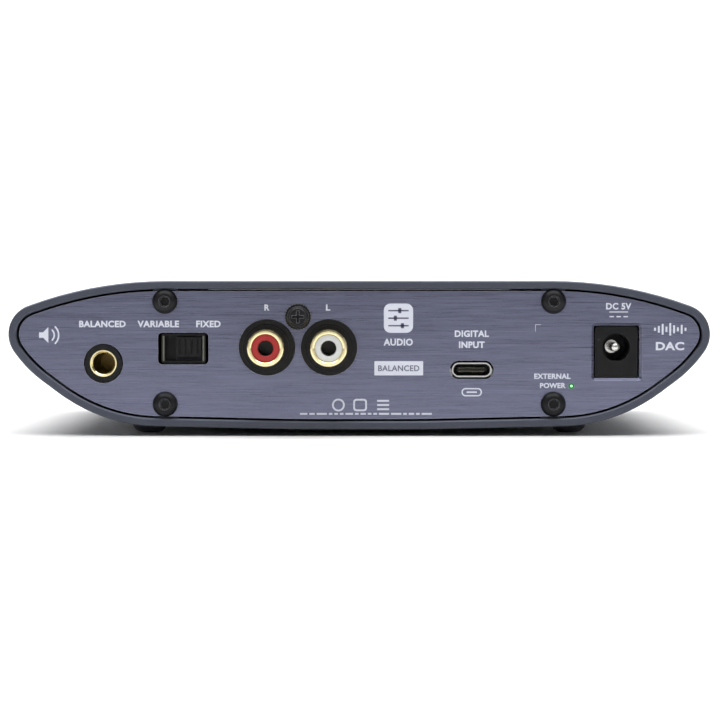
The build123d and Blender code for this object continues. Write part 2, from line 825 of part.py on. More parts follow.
with BuildPart() as dc_centre_pin:
    pin_r = dc_pin_diameter / 2
    pin_tip_y = dc_face_y - dc_pin_set_back
    add(turned(
        dc_x,
        axis_z,
        [
            (0, dc_hole_end_y - dc_pin_root),
            (pin_r, dc_hole_end_y - dc_pin_root),
            (pin_r, dc_hole_end_y),
            (dc_foot_ring_diameter / 2, dc_hole_end_y),
            (dc_foot_ring_diameter / 2, dc_hole_end_y + dc_foot_ring_height),
            (pin_r, dc_hole_end_y + dc_foot_ring_height),
            (pin_r, pin_tip_y - pin_r * 0.7),
            (pin_r * 0.87, pin_tip_y - pin_r * 0.3),
            (pin_r * 0.5, pin_tip_y - pin_r * 0.07),
            (0, pin_tip_y),
        ],
    ))
dc_centre_pin.part.label = "dc_centre_pin"
export_step(dc_centre_pin.part, "parts/dc_centre_pin.step")

with BuildPart() as dc_spring:
    spring_low_z = axis_z - dc_hole_diameter / 2 - dc_spring_thick
    add(block(
        dc_x,
        (dc_face_y - dc_spring_set_back + dc_hole_end_y) / 2,
        spring_low_z,
        dc_spring_width,
        dc_hole_depth - dc_spring_set_back,
        dc_spring_thick,
    ))
dc_spring.part.label = "dc_spring"
export_step(dc_spring.part, "parts/dc_spring.step")

# ================================================================ rear status light
diode_face_y = board_rear_y
with BuildPart() as status_lens:
    add(turned(
        status_lens_x,
        status_lens_z,
        [
            (0, diode_face_y),
            (status_lens_diameter / 2, diode_face_y),
            (status_lens_diameter / 2, panel_face_y - 0.1),
            (status_lens_diameter / 2 - 0.15, panel_face_y + 0.05),
            (0, panel_face_y + 0.1),
        ],
    ))
status_lens.part.label = "status_lens"
export_step(status_lens.part, "parts/status_lens.step")

with BuildPart() as status_diode:
    add(block(status_lens_x, diode_face_y - 0.5, board_bottom_z - 1.1, 1.8, 1.0, 1.1))
status_diode.part.label = "status_diode"
export_step(status_diode.part, "parts/status_diode.step")

# ================================================================ front panels
button_hole_r = button_diameter / 2 + button_gap
fascia_holes = [(power_button_x, button_hole_r), (gain_button_x, button_hole_r)]
lens_xs = [power_button_x + front_lens_offset, gain_button_x + front_lens_offset]
fascia_holes += [(x, front_lens_diameter / 2) for x in lens_xs]
fascia_holes += [(jack6_x, jack6_nose_diameter / 2 + 0.1), (front_jack4_x, jack4_nose_diameter / 2 + 0.1)]


def front_sheet(face_y, thick, knob_hole, gap):
    """One of the three layers of the front, with the holes that all of them share."""
    with BuildPart() as sheet:
        with BuildSketch(across(face_y + thick)):
            add(section(wall + gap))
            for x, r in fascia_holes:
                with Locations((x, axis_z)):
                    Circle(r, mode=Mode.SUBTRACT)
            with Locations((0, axis_z)):
                Circle(knob_hole / 2, mode=Mode.SUBTRACT)
        extrude(amount=thick)
    return sheet.part


with BuildPart() as front_fascia:
    add(front_sheet(fascia_face_y, fascia_thick, pot_window_diameter, fascia_gap))
front_fascia.part.label = "front_fascia"
export_step(front_fascia.part, "parts/front_fascia.step")

with BuildPart() as fascia_adhesive:
    add(front_sheet(fascia_back_y, glue_thick, pot_window_diameter, fascia_gap))
fascia_adhesive.part.label = "fascia_adhesive"
export_step(fascia_adhesive.part, "parts/fascia_adhesive.step")

with BuildPart() as front_sub_panel:
    # the sub-panel is a snug fit in the shell, so that no light passes around it
    add(front_sheet(sub_panel_face_y, sub_panel_thick, pot_bush_diameter + 0.2, sub_panel_gap))
    with BuildSketch(across(sub_panel_back_y)):
        with Locations(*port_places):
            Circle(thread_diameter / 2)
    extrude(amount=sub_panel_thick, mode=Mode.SUBTRACT)
    for x, z in port_places:
        with Locations(Location((x, sub_panel_face_y, z), (90, 0, 0))):
            Cone(
                thread_diameter / 2,
                countersink_diameter / 2,
                countersink_depth,
                align=(Align.CENTER, Align.CENTER, Align.MAX),
                mode=Mode.SUBTRACT,
            )
front_sub_panel.part.label = "front_sub_panel"
export_step(front_sub_panel.part, "parts/front_sub_panel.step")

with BuildPart() as front_panel_screws:
    for x, z in port_places:
        add(turned(
            x,
            z,
            [
                (0, sub_panel_face_y),
                (countersink_diameter / 2, sub_panel_face_y),
                (screw_shank_diameter / 2, sub_panel_face_y + countersink_depth),
                (screw_shank_diameter / 2, sub_panel_face_y + screw_length),
                (0, sub_panel_face_y + screw_length),
            ],
        ))
    with BuildSketch(across(sub_panel_face_y + socket_depth)):
        with Locations(*port_places):
            RegularPolygon(hex_socket / 2, 6, major_radius=False)
    extrude(amount=socket_depth, mode=Mode.SUBTRACT)
front_panel_screws.part.label = "front_panel_screws"
export_step(front_panel_screws.part, "parts/front_panel_screws.step")

# ================================================================ volume control
with BuildPart() as pot_body:
    pot_middle_y = sub_panel_back_y + pot_body_depth / 2
    add(block(0, pot_middle_y, board_top_z, pot_body_width, pot_body_depth, pot_body_height))
    with BuildSketch(across(pot_middle_y)):
        with Locations((0, axis_z)):
            Circle(pot_bush_diameter / 2)
    extrude(amount=pot_body_depth / 2, mode=Mode.SUBTRACT)
pot_body.part.label = "pot_body"
export_step(pot_body.part, "parts/pot_body.step")

pot_bush_face_y = sub_panel_back_y - pot_bush_length
pot_bush_end_y = sub_panel_back_y + pot_body_depth / 2
with BuildPart() as pot_bush:
    with BuildSketch(across(pot_bush_end_y)):
        with Locations((0, axis_z)):
            Circle(pot_bush_diameter / 2)
            Circle(pot_bush_bore / 2, mode=Mode.SUBTRACT)
    extrude(amount=pot_bush_end_y - pot_bush_face_y)
pot_bush.part.label = "pot_bush"
export_step(pot_bush.part, "parts/pot_bush.step")

with BuildPart() as pot_washer:
    with BuildSketch(across(sub_panel_face_y)):
        with Locations((0, axis_z)):
            Circle(pot_washer_diameter / 2)
            Circle(pot_bush_diameter / 2, mode=Mode.SUBTRACT)
    extrude(amount=pot_washer_thick)
pot_washer.part.label = "pot_washer"
export_step(pot_washer.part, "parts/pot_washer.step")

with BuildPart() as pot_nut:
    with BuildSketch(across(sub_panel_face_y - pot_washer_thick)):
        with Locations((0, axis_z)):
            RegularPolygon(pot_nut_across / 2, 6, major_radius=False)
            Circle(pot_bush_diameter / 2, mode=Mode.SUBTRACT)
    extrude(amount=pot_nut_thick)
pot_nut.part.label = "pot_nut"
export_step(pot_nut.part, "parts/pot_nut.step")

knob_back_y = fascia_face_y - knob_gap
knob_face_y = front_y - knob_stand_out
knob_hub_end_y = knob_back_y - knob_hollow_depth - knob_hub_depth + knob_hub_open

with BuildPart() as pot_shaft:
    with BuildSketch(across(pot_bush_end_y - 0.4)):
        with Locations((0, axis_z)):
            Circle(pot_shaft_diameter / 2)
    extrude(amount=pot_bush_end_y - 0.4 - knob_hub_end_y)
pot_shaft.part.label = "pot_shaft"
export_step(pot_shaft.part, "parts/pot_shaft.step")

with BuildPart() as volume_knob:
    knob_r = knob_diameter / 2
    add(turned(
        0,
        axis_z,
        [
            (0, knob_face_y),
            (knob_r - knob_rim_radius, knob_face_y),
            (knob_r - knob_rim_radius * 0.3, knob_face_y + knob_rim_radius * 0.3),
            (knob_r, knob_face_y + knob_rim_radius),
            (knob_r, knob_back_y - 0.3),
            (knob_r - 0.3, knob_back_y),
            (knob_hollow_diameter / 2, knob_back_y),
            (knob_hollow_diameter / 2, knob_back_y - knob_hollow_depth),
            (0, knob_back_y - knob_hollow_depth),
        ],
    ))
    with BuildSketch(across(knob_back_y - knob_hollow_depth)):
        with Locations((0, axis_z)):
            Circle(knob_hub_bore / 2)
    extrude(amount=knob_back_y - knob_hollow_depth - knob_hub_end_y, mode=Mode.SUBTRACT)
    # slot of the pointer, cut in the face from the middle region out to the rim
    with BuildSketch(across(knob_face_y + knob_pointer_depth)):
        with Locations((0, axis_z + knob_r - pointer_from_rim)):
            Rectangle(knob_pointer_width, knob_pointer_length, align=(Align.CENTER, Align.MAX))
    extrude(amount=knob_pointer_depth, mode=Mode.SUBTRACT)
    # threaded hole of the set screw, in the underside
    set_screw_y = (knob_back_y - knob_hollow_depth + knob_hub_end_y) / 2
    with BuildSketch(Plane(origin=(0, set_screw_y, axis_z - knob_r), x_dir=(1, 0, 0), z_dir=(0, 0, 1))):
        Circle(set_screw_diameter / 2)
    extrude(amount=knob_r - pot_shaft_diameter / 2, mode=Mode.SUBTRACT)
volume_knob.part.label = "volume_knob"
export_step(volume_knob.part, "parts/volume_knob.step")

with BuildPart() as knob_pointer:
    with BuildSketch(across(knob_face_y + knob_pointer_depth)):
        with Locations((0, axis_z + knob_r - pointer_from_rim)):
            Rectangle(knob_pointer_width, knob_pointer_length, align=(Align.CENTER, Align.MAX))
    extrude(amount=knob_pointer_depth)
knob_pointer.part.label = "knob_pointer"
export_step(knob_pointer.part, "parts/knob_pointer.step")

with BuildPart() as knob_set_screw:
    with BuildSketch(Plane.XY.offset(axis_z - pot_shaft_diameter / 2 - set_screw_length)):
        with Locations((0, set_screw_y)):
            Circle(set_screw_diameter / 2)
    extrude(amount=set_screw_length - 0.02)
    with BuildSketch(Plane.XY.offset(axis_z - pot_shaft_diameter / 2 - set_screw_length)):
        with Locations((0, set_screw_y)):
            RegularPolygon(set_screw_hex / 2, 6, major_radius=False)
    extrude(amount=set_screw_hex, mode=Mode.SUBTRACT)
knob_set_screw.part.label = "knob_set_screw"
export_step(knob_set_screw.part, "parts/knob_set_screw.step")

# ================================================================ buttons
tact_face_y = sub_panel_back_y + tact_face_from_panel
button_face_y = fascia_face_y - button_stand_out
flange_face_y = sub_panel_back_y + button_flange_gap
stem_end_y = tact_face_y + stem_engagement


def push_button(x):
    """A push button: domed cap, flange behind the sub-panel, stem into the switch."""
    cap_r = button_diameter / 2
    return turned(
        x,
        axis_z,
        [
            (0, button_face_y),
            (cap_r - 0.5, button_face_y),
            (cap_r, button_face_y + 0.5),
            (cap_r, flange_face_y),
            (button_flange_diameter / 2, flange_face_y),
            (button_flange_diameter / 2, flange_face_y + button_flange_thick),
            (button_stem_diameter / 2, flange_face_y + button_flange_thick),
            (button_stem_diameter / 2, stem_end_y),
            (0, stem_end_y),
        ],
    )


with BuildPart() as power_button:
    add(push_button(power_button_x))
power_button.part.label = "power_button"
export_step(power_button.part, "parts/power_button.step")

with BuildPart() as gain_button:
    add(push_button(gain_button_x))
gain_button.part.label = "gain_button"
export_step(gain_button.part, "parts/gain_button.step")

with BuildPart() as tact_switches:
    for x in (power_button_x, gain_button_x):
        tact_middle_y = tact_face_y + tact_body_depth / 2
        add(block(x, tact_middle_y, board_top_z, tact_body_width, tact_body_depth, tact_body_height))
    with BuildSketch(across(tact_face_y + tact_bore_depth)):
        with Locations((power_button_x, axis_z), (gain_button_x, axis_z)):
            Circle(button_stem_diameter / 2 + 0.3)
    extrude(amount=tact_bore_depth, mode=Mode.SUBTRACT)
tact_switches.part.label = "tact_switches"
export_step(tact_switches.part, "parts/tact_switches.step")

# ================================================================ front lights
lens_end_y = fascia_face_y + front_lens_length
with BuildPart() as front_lenses:
    for x in lens_xs:
        add(turned(
            x,
            axis_z,
            [
                (0, fascia_face_y - 0.1),
                (front_lens_diameter / 2 - 0.2, fascia_face_y - 0.05),
                (front_lens_diameter / 2, fascia_face_y + 0.15),
                (front_lens_diameter / 2, lens_end_y),
                (0, lens_end_y),
            ],
        ))
front_lenses.part.label = "front_lenses"
export_step(front_lenses.part, "parts/front_lenses.step")

with BuildPart() as front_diodes:
    for x in lens_xs:
        diode_height = axis_z - board_top_z + diode_top_rise
        add(block(x, lens_end_y + diode_depth / 2, board_top_z, diode_width, diode_depth, diode_height))
front_diodes.part.label = "front_diodes"
export_step(front_diodes.part, "parts/front_diodes.step")

# ================================================================ 6.35 mm headphone jack
jack6_face_y = fascia_face_y - jack6_stand_out
with BuildPart() as jack6_body:
    add(block(
        jack6_x,
        sub_panel_back_y + jack6_body_depth / 2,
        board_top_z,
        jack6_body_width,
        jack6_body_depth,
        jack6_body_height,
    ))
    with BuildSketch(across(sub_panel_back_y)):
        with Locations((jack6_x, axis_z)):
            Circle(jack6_nose_diameter / 2)
    extrude(amount=sub_panel_back_y - jack6_face_y)
    with BuildSketch(across(sub_panel_back_y + jack6_body_depth - 1.5)):
        with Locations((jack6_x, axis_z)):
            Circle(jack6_bore / 2)
    extrude(amount=jack6_body_depth * 2, mode=Mode.SUBTRACT)
    with BuildSketch(across(jack6_face_y + jack6_bush_length)):
        with Locations((jack6_x, axis_z)):
            Circle(jack6_bush_diameter / 2)
    extrude(amount=jack6_bush_length, mode=Mode.SUBTRACT)
jack6_body.part.label = "jack6_body"
export_step(jack6_body.part, "parts/jack6_body.step")

with BuildPart() as jack6_bush:
    add(turned(
        jack6_x,
        axis_z,
        [
            (jack6_bore / 2 + 0.4, jack6_face_y),
            (jack6_bush_diameter / 2, jack6_face_y),
            (jack6_bush_diameter / 2, jack6_face_y + jack6_bush_length),
            (jack6_bore / 2, jack6_face_y + jack6_bush_length),
            (jack6_bore / 2, jack6_face_y + 0.4),
        ],
    ))
jack6_bush.part.label = "jack6_bush"
export_step(jack6_bush.part, "parts/jack6_bush.step")

# ================================================================ front 4.4 mm jack
front_nose_y = fascia_face_y - jack4_stand_out
with BuildPart() as front_jack4_body:
    add(block(
        front_jack4_x,
        sub_panel_back_y + jack4_depth / 2,
        board_top_z,
        front_jack4_width,
        jack4_depth,
        front_jack4_width,
    ))
    with BuildSketch(across(sub_panel_back_y)):
        with Locations((front_jack4_x, axis_z)):
            Circle(jack4_nose_diameter / 2)
    extrude(amount=sub_panel_back_y - front_nose_y)
    with BuildSketch(across(front_nose_y + jack4_bore_depth)):
        with Locations((front_jack4_x, axis_z)):
            Circle(jack4_bore / 2)
    extrude(amount=jack4_bore_depth, mode=Mode.SUBTRACT)
    with BuildSketch(across(front_nose_y + jack4_lip_length)):
        with Locations((front_jack4_x, axis_z)):
            Circle(jack4_lip_diameter / 2)
    extrude(amount=jack4_lip_length, mode=Mode.SUBTRACT)
front_jack4_body.part.label = "front_jack4_body"
export_step(front_jack4_body.part, "parts/front_jack4_body.step")

with BuildPart() as front_jack4_bush:
    add(turned(
        front_jack4_x,
        axis_z,
        [
            (jack4_bore / 2 + 0.3, front_nose_y),
            (jack4_lip_diameter / 2, front_nose_y),
            (jack4_lip_diameter / 2, front_nose_y + jack4_lip_length),
            (jack4_bore / 2, front_nose_y + jack4_lip_length),
            (jack4_bore / 2, front_nose_y + 0.3),
        ],
    ))
front_jack4_bush.part.label = "front_jack4_bush"
export_step(front_jack4_bush.part, "parts/front_jack4_bush.step")

# ================================================================ main board
with BuildPart() as main_board:
    with BuildSketch(level(board_bottom_z)):
        with Locations((0, (board_rear_y + board_front_y) / 2)):
            Rectangle(board_half_width * 2, board_rear_y - board_front_y)
        with Locations((jack4_x, board_rear_y)):
            Rectangle(
                jack4_low_width + jack4_notch_gap * 2,
                jack4_depth + jack4_notch_gap - board_rear_gap,
                align=(Align.CENTER, Align.MAX),
                mode=Mode.SUBTRACT,
            )
    extrude(amount=board_thick)
main_board.part.label = "main_board"
export_step(main_board.part, "parts/main_board.step")

# ================================================================ parts on the board
def cans(places, diameter, height):
    """Upright electrolytic capacitors."""
    with BuildPart() as row:
        with BuildSketch(level(board_top_z)):
            with Locations(*places):
                Circle(diameter / 2)
        extrude(amount=height)
        fillet(row.edges().group_by(Axis.Z)[-1], 0.5)
    return row.part


def chips(places, width, depth, height):
    """Flat rectangular parts soldered on the board."""
    with BuildPart() as row:
        with BuildSketch(level(board_top_z)):
            with Locations(*places):
                Rectangle(width, depth)
        extrude(amount=height)
    return row.part


with BuildPart() as power_capacitors:
    power_can_places = [(power_side_x + power_can_pitch * i, 18.0) for i in (-1, 0, 1)]
    add(cans(power_can_places, power_can_diameter, power_can_height))
power_capacitors.part.label = "power_capacitors"
export_step(power_capacitors.part, "parts/power_capacitors.step")

with BuildPart() as audio_capacitors:
    audio_can_xs = [output_side_x + audio_can_pitch * i for i in (-1, 0, 1, 2)]
    audio_can_places = [(x, y) for x in audio_can_xs for y in (16.0, 16.0 + audio_can_pitch)]
    add(cans(audio_can_places, audio_can_diameter, audio_can_height))
audio_capacitors.part.label = "audio_capacitors"
export_step(audio_capacitors.part, "parts/audio_capacitors.step")

with BuildPart() as film_capacitors:
    add(chips([(output_side_x + film_pitch * i, 6.0) for i in (-1, 0, 1, 2)], 2.6, 7.2, 6.5))
film_capacitors.part.label = "film_capacitors"
export_step(film_capacitors.part, "parts/film_capacitors.step")

with BuildPart() as dac_chip:
    add(chips([(output_side_x - 21, 12.0)], 7.0, 7.0, 1.1))
dac_chip.part.label = "dac_chip"
export_step(dac_chip.part, "parts/dac_chip.step")

with BuildPart() as usb_controller:
    add(chips([(usb_controller_x, 26.0)], 9.0, 9.0, 0.9))
usb_controller.part.label = "usb_controller"
export_step(usb_controller.part, "parts/usb_controller.step")

with BuildPart() as op_amps:
    add(chips([(output_side_x + chip_pitch * i, -8.0) for i in (-1, 0, 1, 2)], 3.9, 4.9, 1.5))
op_amps.part.label = "op_amps"
export_step(op_amps.part, "parts/op_amps.step")

with BuildPart() as clock_crystals:
    add(chips([(clock_x, 16.0), (clock_x, 22.0)], 5.0, 3.2, 1.2))
clock_crystals.part.label = "clock_crystals"
export_step(clock_crystals.part, "parts/clock_crystals.step")

with BuildPart() as relays:
    add(chips([(-14.0, -14.0), (-4.0, -14.0)], 6.5, 10.0, 5.2))
relays.part.label = "relays"
export_step(relays.part, "parts/relays.step")

with BuildPart() as power_inductors:
    inductor_places = [(power_side_x + chip_pitch * i, 5.0) for i in (-1, 0, 1)]
    add(chips(inductor_places, inductor_size, inductor_size, 3.0))
power_inductors.part.label = "power_inductors"
export_step(power_inductors.part, "parts/power_inductors.step")

with BuildPart() as regulators:
    add(chips([(power_side_x + chip_pitch * i, -8.0) for i in (-1, 0, 1)], 6.5, 3.5, 1.7))
regulators.part.label = "regulators"
export_step(regulators.part, "parts/regulators.step")

with BuildPart() as small_passives:
    with BuildSketch(level(board_top_z)):
        for x in (power_side_x, output_side_x):
            with Locations((x, -15.0)):
                with GridLocations(3.2, 3.0, 8, 2):
                    Rectangle(1.6, 0.8)
    extrude(amount=0.6)
small_passives.part.label = "small_passives"
export_step(small_passives.part, "parts/small_passives.step")

# ================================================================ feet
with BuildPart() as feet:
    for sx in (-1, 1):
        for y in (rear_y - foot_from_rear, front_y + foot_from_rear):
            with BuildSketch(Plane(origin=(sx * foot_x, y, 0), x_dir=(1, 0, 0), z_dir=(0, -1, 0))):
                with BuildLine():
                    Line((0, 0), (foot_flat_diameter / 2, 0))
                    ThreePointArc(
                        (foot_flat_diameter / 2, 0),
                        (foot_diameter / 2 - 0.7, 0.62),
                        (foot_diameter / 2, foot_shoulder),
                    )
                    Polyline(
                        (foot_diameter / 2, foot_shoulder),
                        (foot_diameter / 2, foot_height),
                        (0, foot_height),
                        (0, 0),
                    )
                make_face()
            revolve(axis=Axis((sx * foot_x, y, 0), (0, 0, 1)))
    with BuildSketch(across(rear_y)):
        add(section(0))
    extrude(amount=shell_length, mode=Mode.SUBTRACT)
feet.part.label = "feet"
export_step(feet.part, "parts/feet.step")
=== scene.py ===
import math
import random

import bmesh
import bpy
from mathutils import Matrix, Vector


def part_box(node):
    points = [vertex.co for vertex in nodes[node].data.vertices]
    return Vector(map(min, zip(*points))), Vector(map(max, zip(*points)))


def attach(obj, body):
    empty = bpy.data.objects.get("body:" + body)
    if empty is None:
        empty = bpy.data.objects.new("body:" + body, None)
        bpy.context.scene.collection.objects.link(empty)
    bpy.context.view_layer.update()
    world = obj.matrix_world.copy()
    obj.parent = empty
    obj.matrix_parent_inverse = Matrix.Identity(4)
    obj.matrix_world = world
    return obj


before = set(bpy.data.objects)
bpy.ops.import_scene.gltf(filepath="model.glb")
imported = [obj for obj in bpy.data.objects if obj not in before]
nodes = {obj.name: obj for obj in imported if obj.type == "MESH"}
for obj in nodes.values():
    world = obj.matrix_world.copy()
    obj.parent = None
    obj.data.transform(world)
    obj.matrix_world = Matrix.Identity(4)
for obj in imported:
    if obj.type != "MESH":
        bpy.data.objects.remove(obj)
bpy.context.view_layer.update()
mm = 0.001

# ---------------------------------------------------------------- camera
# The unit is looked at square from behind, a little from above its middle, from
# less than half a metre, so that the socket sleeves show a trace of their sides.
panel_low, panel_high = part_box("rear_panel")
panel_face_y = panel_high.y
camera_data = bpy.data.cameras.new("rear_view")
camera_data.lens = 100.0
camera_data.sensor_width = 36.0
camera = bpy.data.objects.new("rear_view", camera_data)
bpy.context.scene.collection.objects.link(camera)
camera_side = -0.18 * mm
camera_place = Vector((camera_side, panel_face_y + 451 * mm, 32.4 * mm))
camera_aim = Vector((camera_side, panel_face_y + 1 * mm, 17.2 * mm))
camera.location = camera_place
camera.rotation_euler = (camera_aim - camera_place).to_track_quat("-Z", "Y").to_euler()
bpy.context.scene.camera = camera

# ---------------------------------------------------------------- floor and studio light
# A sheet of pale matt paper, level under the unit and swept up far behind and before it,
# lit by one wide soft box overhead and two weaker ones at the sides.


def add(tree, kind, links=None, **settings):
    """A shader node with its settings, and its sockets linked or set."""
    node = tree.nodes.new(kind)
    for key, value in settings.items():
        setattr(node, key, value)
    for socket, source in (links or {}).items():
        if isinstance(source, bpy.types.NodeSocket):
            tree.links.new(source, node.inputs[socket])
        else:
            node.inputs[socket].default_value = source
    return node


def material_of(name):
    """An empty material with its Principled BSDF."""
    finish = bpy.data.materials.new(name)
    finish.use_nodes = True
    tree = finish.node_tree
    shader = tree.nodes["Principled BSDF"]
    return finish, tree, shader


paper, tree, shader = material_of("pale_paper")
fibre = add(tree, "ShaderNodeTexNoise", {"Scale": 240.0, "Detail": 4.0})
tone = add(tree, "ShaderNodeMix", {"Factor": fibre.outputs["Fac"]}, data_type="RGBA")
tone.inputs["A"].default_value = (0.86, 0.86, 0.86, 1)
tone.inputs["B"].default_value = (0.9, 0.9, 0.9, 1)
tree.links.new(tone.outputs["Result"], shader.inputs["Base Color"])
shader.inputs["Roughness"].default_value = 0.9
shader.inputs["Specular IOR Level"].default_value = 0.2

sweep_radius = 0.5
sweep = [(2.4, 0.9), (2.4, sweep_radius)]
sweep += [
    (1.9 + sweep_radius * math.sin(a), sweep_radius * (1 - math.cos(a)))
    for a in [math.radians(d) for d in range(90, -1, -10)]
]
sweep += [
    (-0.9 - sweep_radius * math.sin(a), sweep_radius * (1 - math.cos(a)))
    for a in [math.radians(d) for d in range(0, 91, 10)]
]
sweep += [(-1.4, 1.6)]
mesh = bmesh.new()
rows = [[mesh.verts.new((x, y, z)) for x in (-2.6, 2.6)] for y, z in sweep]
for near, far in zip(rows, rows[1:]):
    mesh.faces.new((near[0], near[1], far[1], far[0]))
floor_mesh = bpy.data.meshes.new("paper_floor")
mesh.to_mesh(floor_mesh)
mesh.free()
for face in floor_mesh.polygons:
    face.use_smooth = True
floor_mesh.materials.append(paper)
floor = bpy.data.objects.new("paper_floor", floor_mesh)
bpy.context.scene.collection.objects.link(floor)

world = bpy.data.worlds.new("studio")
world.use_nodes = True
world.node_tree.nodes["Background"].inputs["Color"].default_value = (0.97, 0.98, 1.0, 1)
world.node_tree.nodes["Background"].inputs["Strength"].default_value = 0.14
bpy.context.scene.world = world
bpy.context.scene.view_settings.view_transform = "Standard"


def soft_box(name, place, aim, width, height, power):
    """A rectangular soft box that points at a place."""
    light = bpy.data.lights.new(name, "AREA")
    light.shape = "RECTANGLE"
    light.size = width
    light.size_y = height
    light.energy = power
    lamp = bpy.data.objects.new(name, light)
    lamp.location = place
    lamp.rotation_euler = (Vector(aim) - Vector(place)).to_track_quat("-Z", "Y").to_euler()
    bpy.context.scene.collection.objects.link(lamp)


soft_box("top_box", (0, 0.25, 0.9), (0, 0, 0.02), 1.4, 0.9, 13)
soft_box("left_box", (1.0, 0.7, 0.5), (0, 0.05, 0.02), 0.6, 0.8, 0.9)
soft_box("right_box", (-1.0, 0.7, 0.5), (0, 0.05, 0.02), 0.6, 0.8, 0.9)
soft_box("paper_box", (0, -0.5, 1.7), (0, -1.5, 0.2), 3.0, 0.6, 45)

# ---------------------------------------------------------------- shell
# One length of extruded aluminium, fine-blasted and anodised a dark blue grey.  Its sawn
# ends are faced and lightly broken; their thin brighter line is worn metal and painted highlight.


def group_of(name, inputs, outputs):
    """An empty shader node group with named float inputs and named outputs."""
    tree = bpy.data.node_groups.new(name, "ShaderNodeTree")
    for label, value in inputs.items():
        socket = tree.interface.new_socket(label, in_out="INPUT", socket_type="NodeSocketFloat")
        socket.default_value = value
    for label in outputs:
        tree.interface.new_socket(label, in_out="OUTPUT", socket_type="NodeSocketFloat")
    return tree, tree.nodes.new("NodeGroupInput"), tree.nodes.new("NodeGroupOutput")


def use(tree, group, **values):
    """Places a node group in a material with its own values."""
    node = tree.nodes.new("ShaderNodeGroup")
    node.node_tree = group
    for label, value in values.items():
        node.inputs[label.replace("_", " ")].default_value = value
    return node


def toned(colour, gain, lift=0.0):
    """A colour made brighter or darker, held below pure white."""
    return [min(1, c * gain + lift) for c in colour]


def mixed(tree, factor, first, second):
    """The colour between two colours or colour sockets at the factor."""
    node = add(tree, "ShaderNodeMix", {"Factor": factor}, data_type="RGBA")
    for label, colour in (("A", first), ("B", second)):
        if isinstance(colour, bpy.types.NodeSocket):
            tree.links.new(colour, node.inputs[label])
        else:
            node.inputs[label].default_value = (*colour, 1)
    return node.outputs["Result"]


def worked(tree, operation, first, second=None, clamp=False):
    """A Math node's output."""
    node = tree.nodes.new("ShaderNodeMath")
    node.operation = operation
    node.use_clamp = clamp
    for place, value in enumerate((first, second)):
        if isinstance(value, bpy.types.NodeSocket):
            tree.links.new(value, node.inputs[place])
        elif value is not None:
            node.inputs[place].default_value = value
    return node.outputs[0]


def washed(tree, body, mask, share, colour):
    """The body colour with another laid over it where the mask is, at a share."""
    return mixed(tree, worked(tree, "MULTIPLY", mask, share), body, colour)


def roughened(tree, shader, height, swing, least):
    """Roughness that swings up with a height from its least value."""
    spread = worked(tree, "MULTIPLY_ADD", height, swing)
    spread.node.inputs[2].default_value = least
    tree.links.new(spread, shader.inputs["Roughness"])


def bumped(tree, shader, height, strength, distance):
    """Feeds a height through a Bump node to the shader's normal."""
    bump = add(tree, "ShaderNodeBump", {"Height": height, "Strength": strength, "Distance": distance})
    tree.links.new(bump.outputs["Normal"], shader.inputs["Normal"])


def dress(node, finish):
    """Gives a CAD node its material."""
    piece = nodes[node]
    piece.data.materials.clear()
    piece.data.materials.append(finish)
    piece.data.polygons.foreach_set("material_index", [0] * len(piece.data.polygons))


# fine even grain of blasting or moulding: a tone that drifts slowly, and a height
grain, inlet, outlet = group_of("fine_grain", {"Grain": 9000.0, "Drift": 60.0}, ["Speckle", "Cloud"])
place = add(grain, "ShaderNodeTexCoord")
speckle = add(grain, "ShaderNodeTexNoise", {
    "Vector": place.outputs["Object"], "Scale": inlet.outputs["Grain"], "Detail": 3.0, "Roughness": 0.65})
cloud = add(grain, "ShaderNodeTexNoise", {
    "Vector": place.outputs["Object"], "Scale": inlet.outputs["Drift"], "Detail": 5.0, "Roughness": 0.6})
grain.links.new(speckle.outputs["Fac"], outlet.inputs["Speckle"])
grain.links.new(cloud.outputs["Fac"], outlet.inputs["Cloud"])

# a mask along a piece's edges, in patches, for a lighter colour there: partly worn metal, partly a painted
# highlight where an edge catches the light
edge_wear_and_highlight, inlet, outlet = group_of("edge_wear_and_highlight", {"Width": 0.0003, "Patch": 400.0}, ["Edge"])
rounded = add(edge_wear_and_highlight, "ShaderNodeBevel", {"Radius": inlet.outputs["Width"]}, samples=6)
facing = add(edge_wear_and_highlight, "ShaderNodeNewGeometry")
dot = add(edge_wear_and_highlight, "ShaderNodeVectorMath", {0: rounded.outputs["Normal"], 1: facing.outputs["Normal"]},
          operation="DOT_PRODUCT")
place = add(edge_wear_and_highlight, "ShaderNodeTexCoord")
patch = add(edge_wear_and_highlight, "ShaderNodeTexNoise", {
    "Vector": place.outputs["Object"], "Scale": inlet.outputs["Patch"], "Detail": 3.0})
bent = worked(edge_wear_and_highlight, "SUBTRACT", 1.0, dot.outputs["Value"])
bent = worked(edge_wear_and_highlight, "MULTIPLY", bent, 5.0, clamp=True)
bent = worked(edge_wear_and_highlight, "MULTIPLY", bent, patch.outputs["Fac"])
bent = worked(edge_wear_and_highlight, "MULTIPLY", bent, 1.6, clamp=True)
edge_wear_and_highlight.links.new(bent, outlet.inputs["Edge"])

# stray specks of dust, few and pale
dust, inlet, outlet = group_of("dust", {"Spread": 900.0, "Share": 0.3}, ["Speck"])
place = add(dust, "ShaderNodeTexCoord")
cell = add(dust, "ShaderNodeTexVoronoi", {
    "Vector": place.outputs["Object"], "Scale": inlet.outputs["Spread"]})
near = worked(dust, "LESS_THAN", cell.outputs["Distance"], 0.07)
chance = add(dust, "ShaderNodeSeparateColor", {"Color": cell.outputs["Color"]})
kept = worked(dust, "LESS_THAN", chance.outputs["Red"], inlet.outputs["Share"])
dust.links.new(worked(dust, "MULTIPLY", near, kept), outlet.inputs["Speck"])


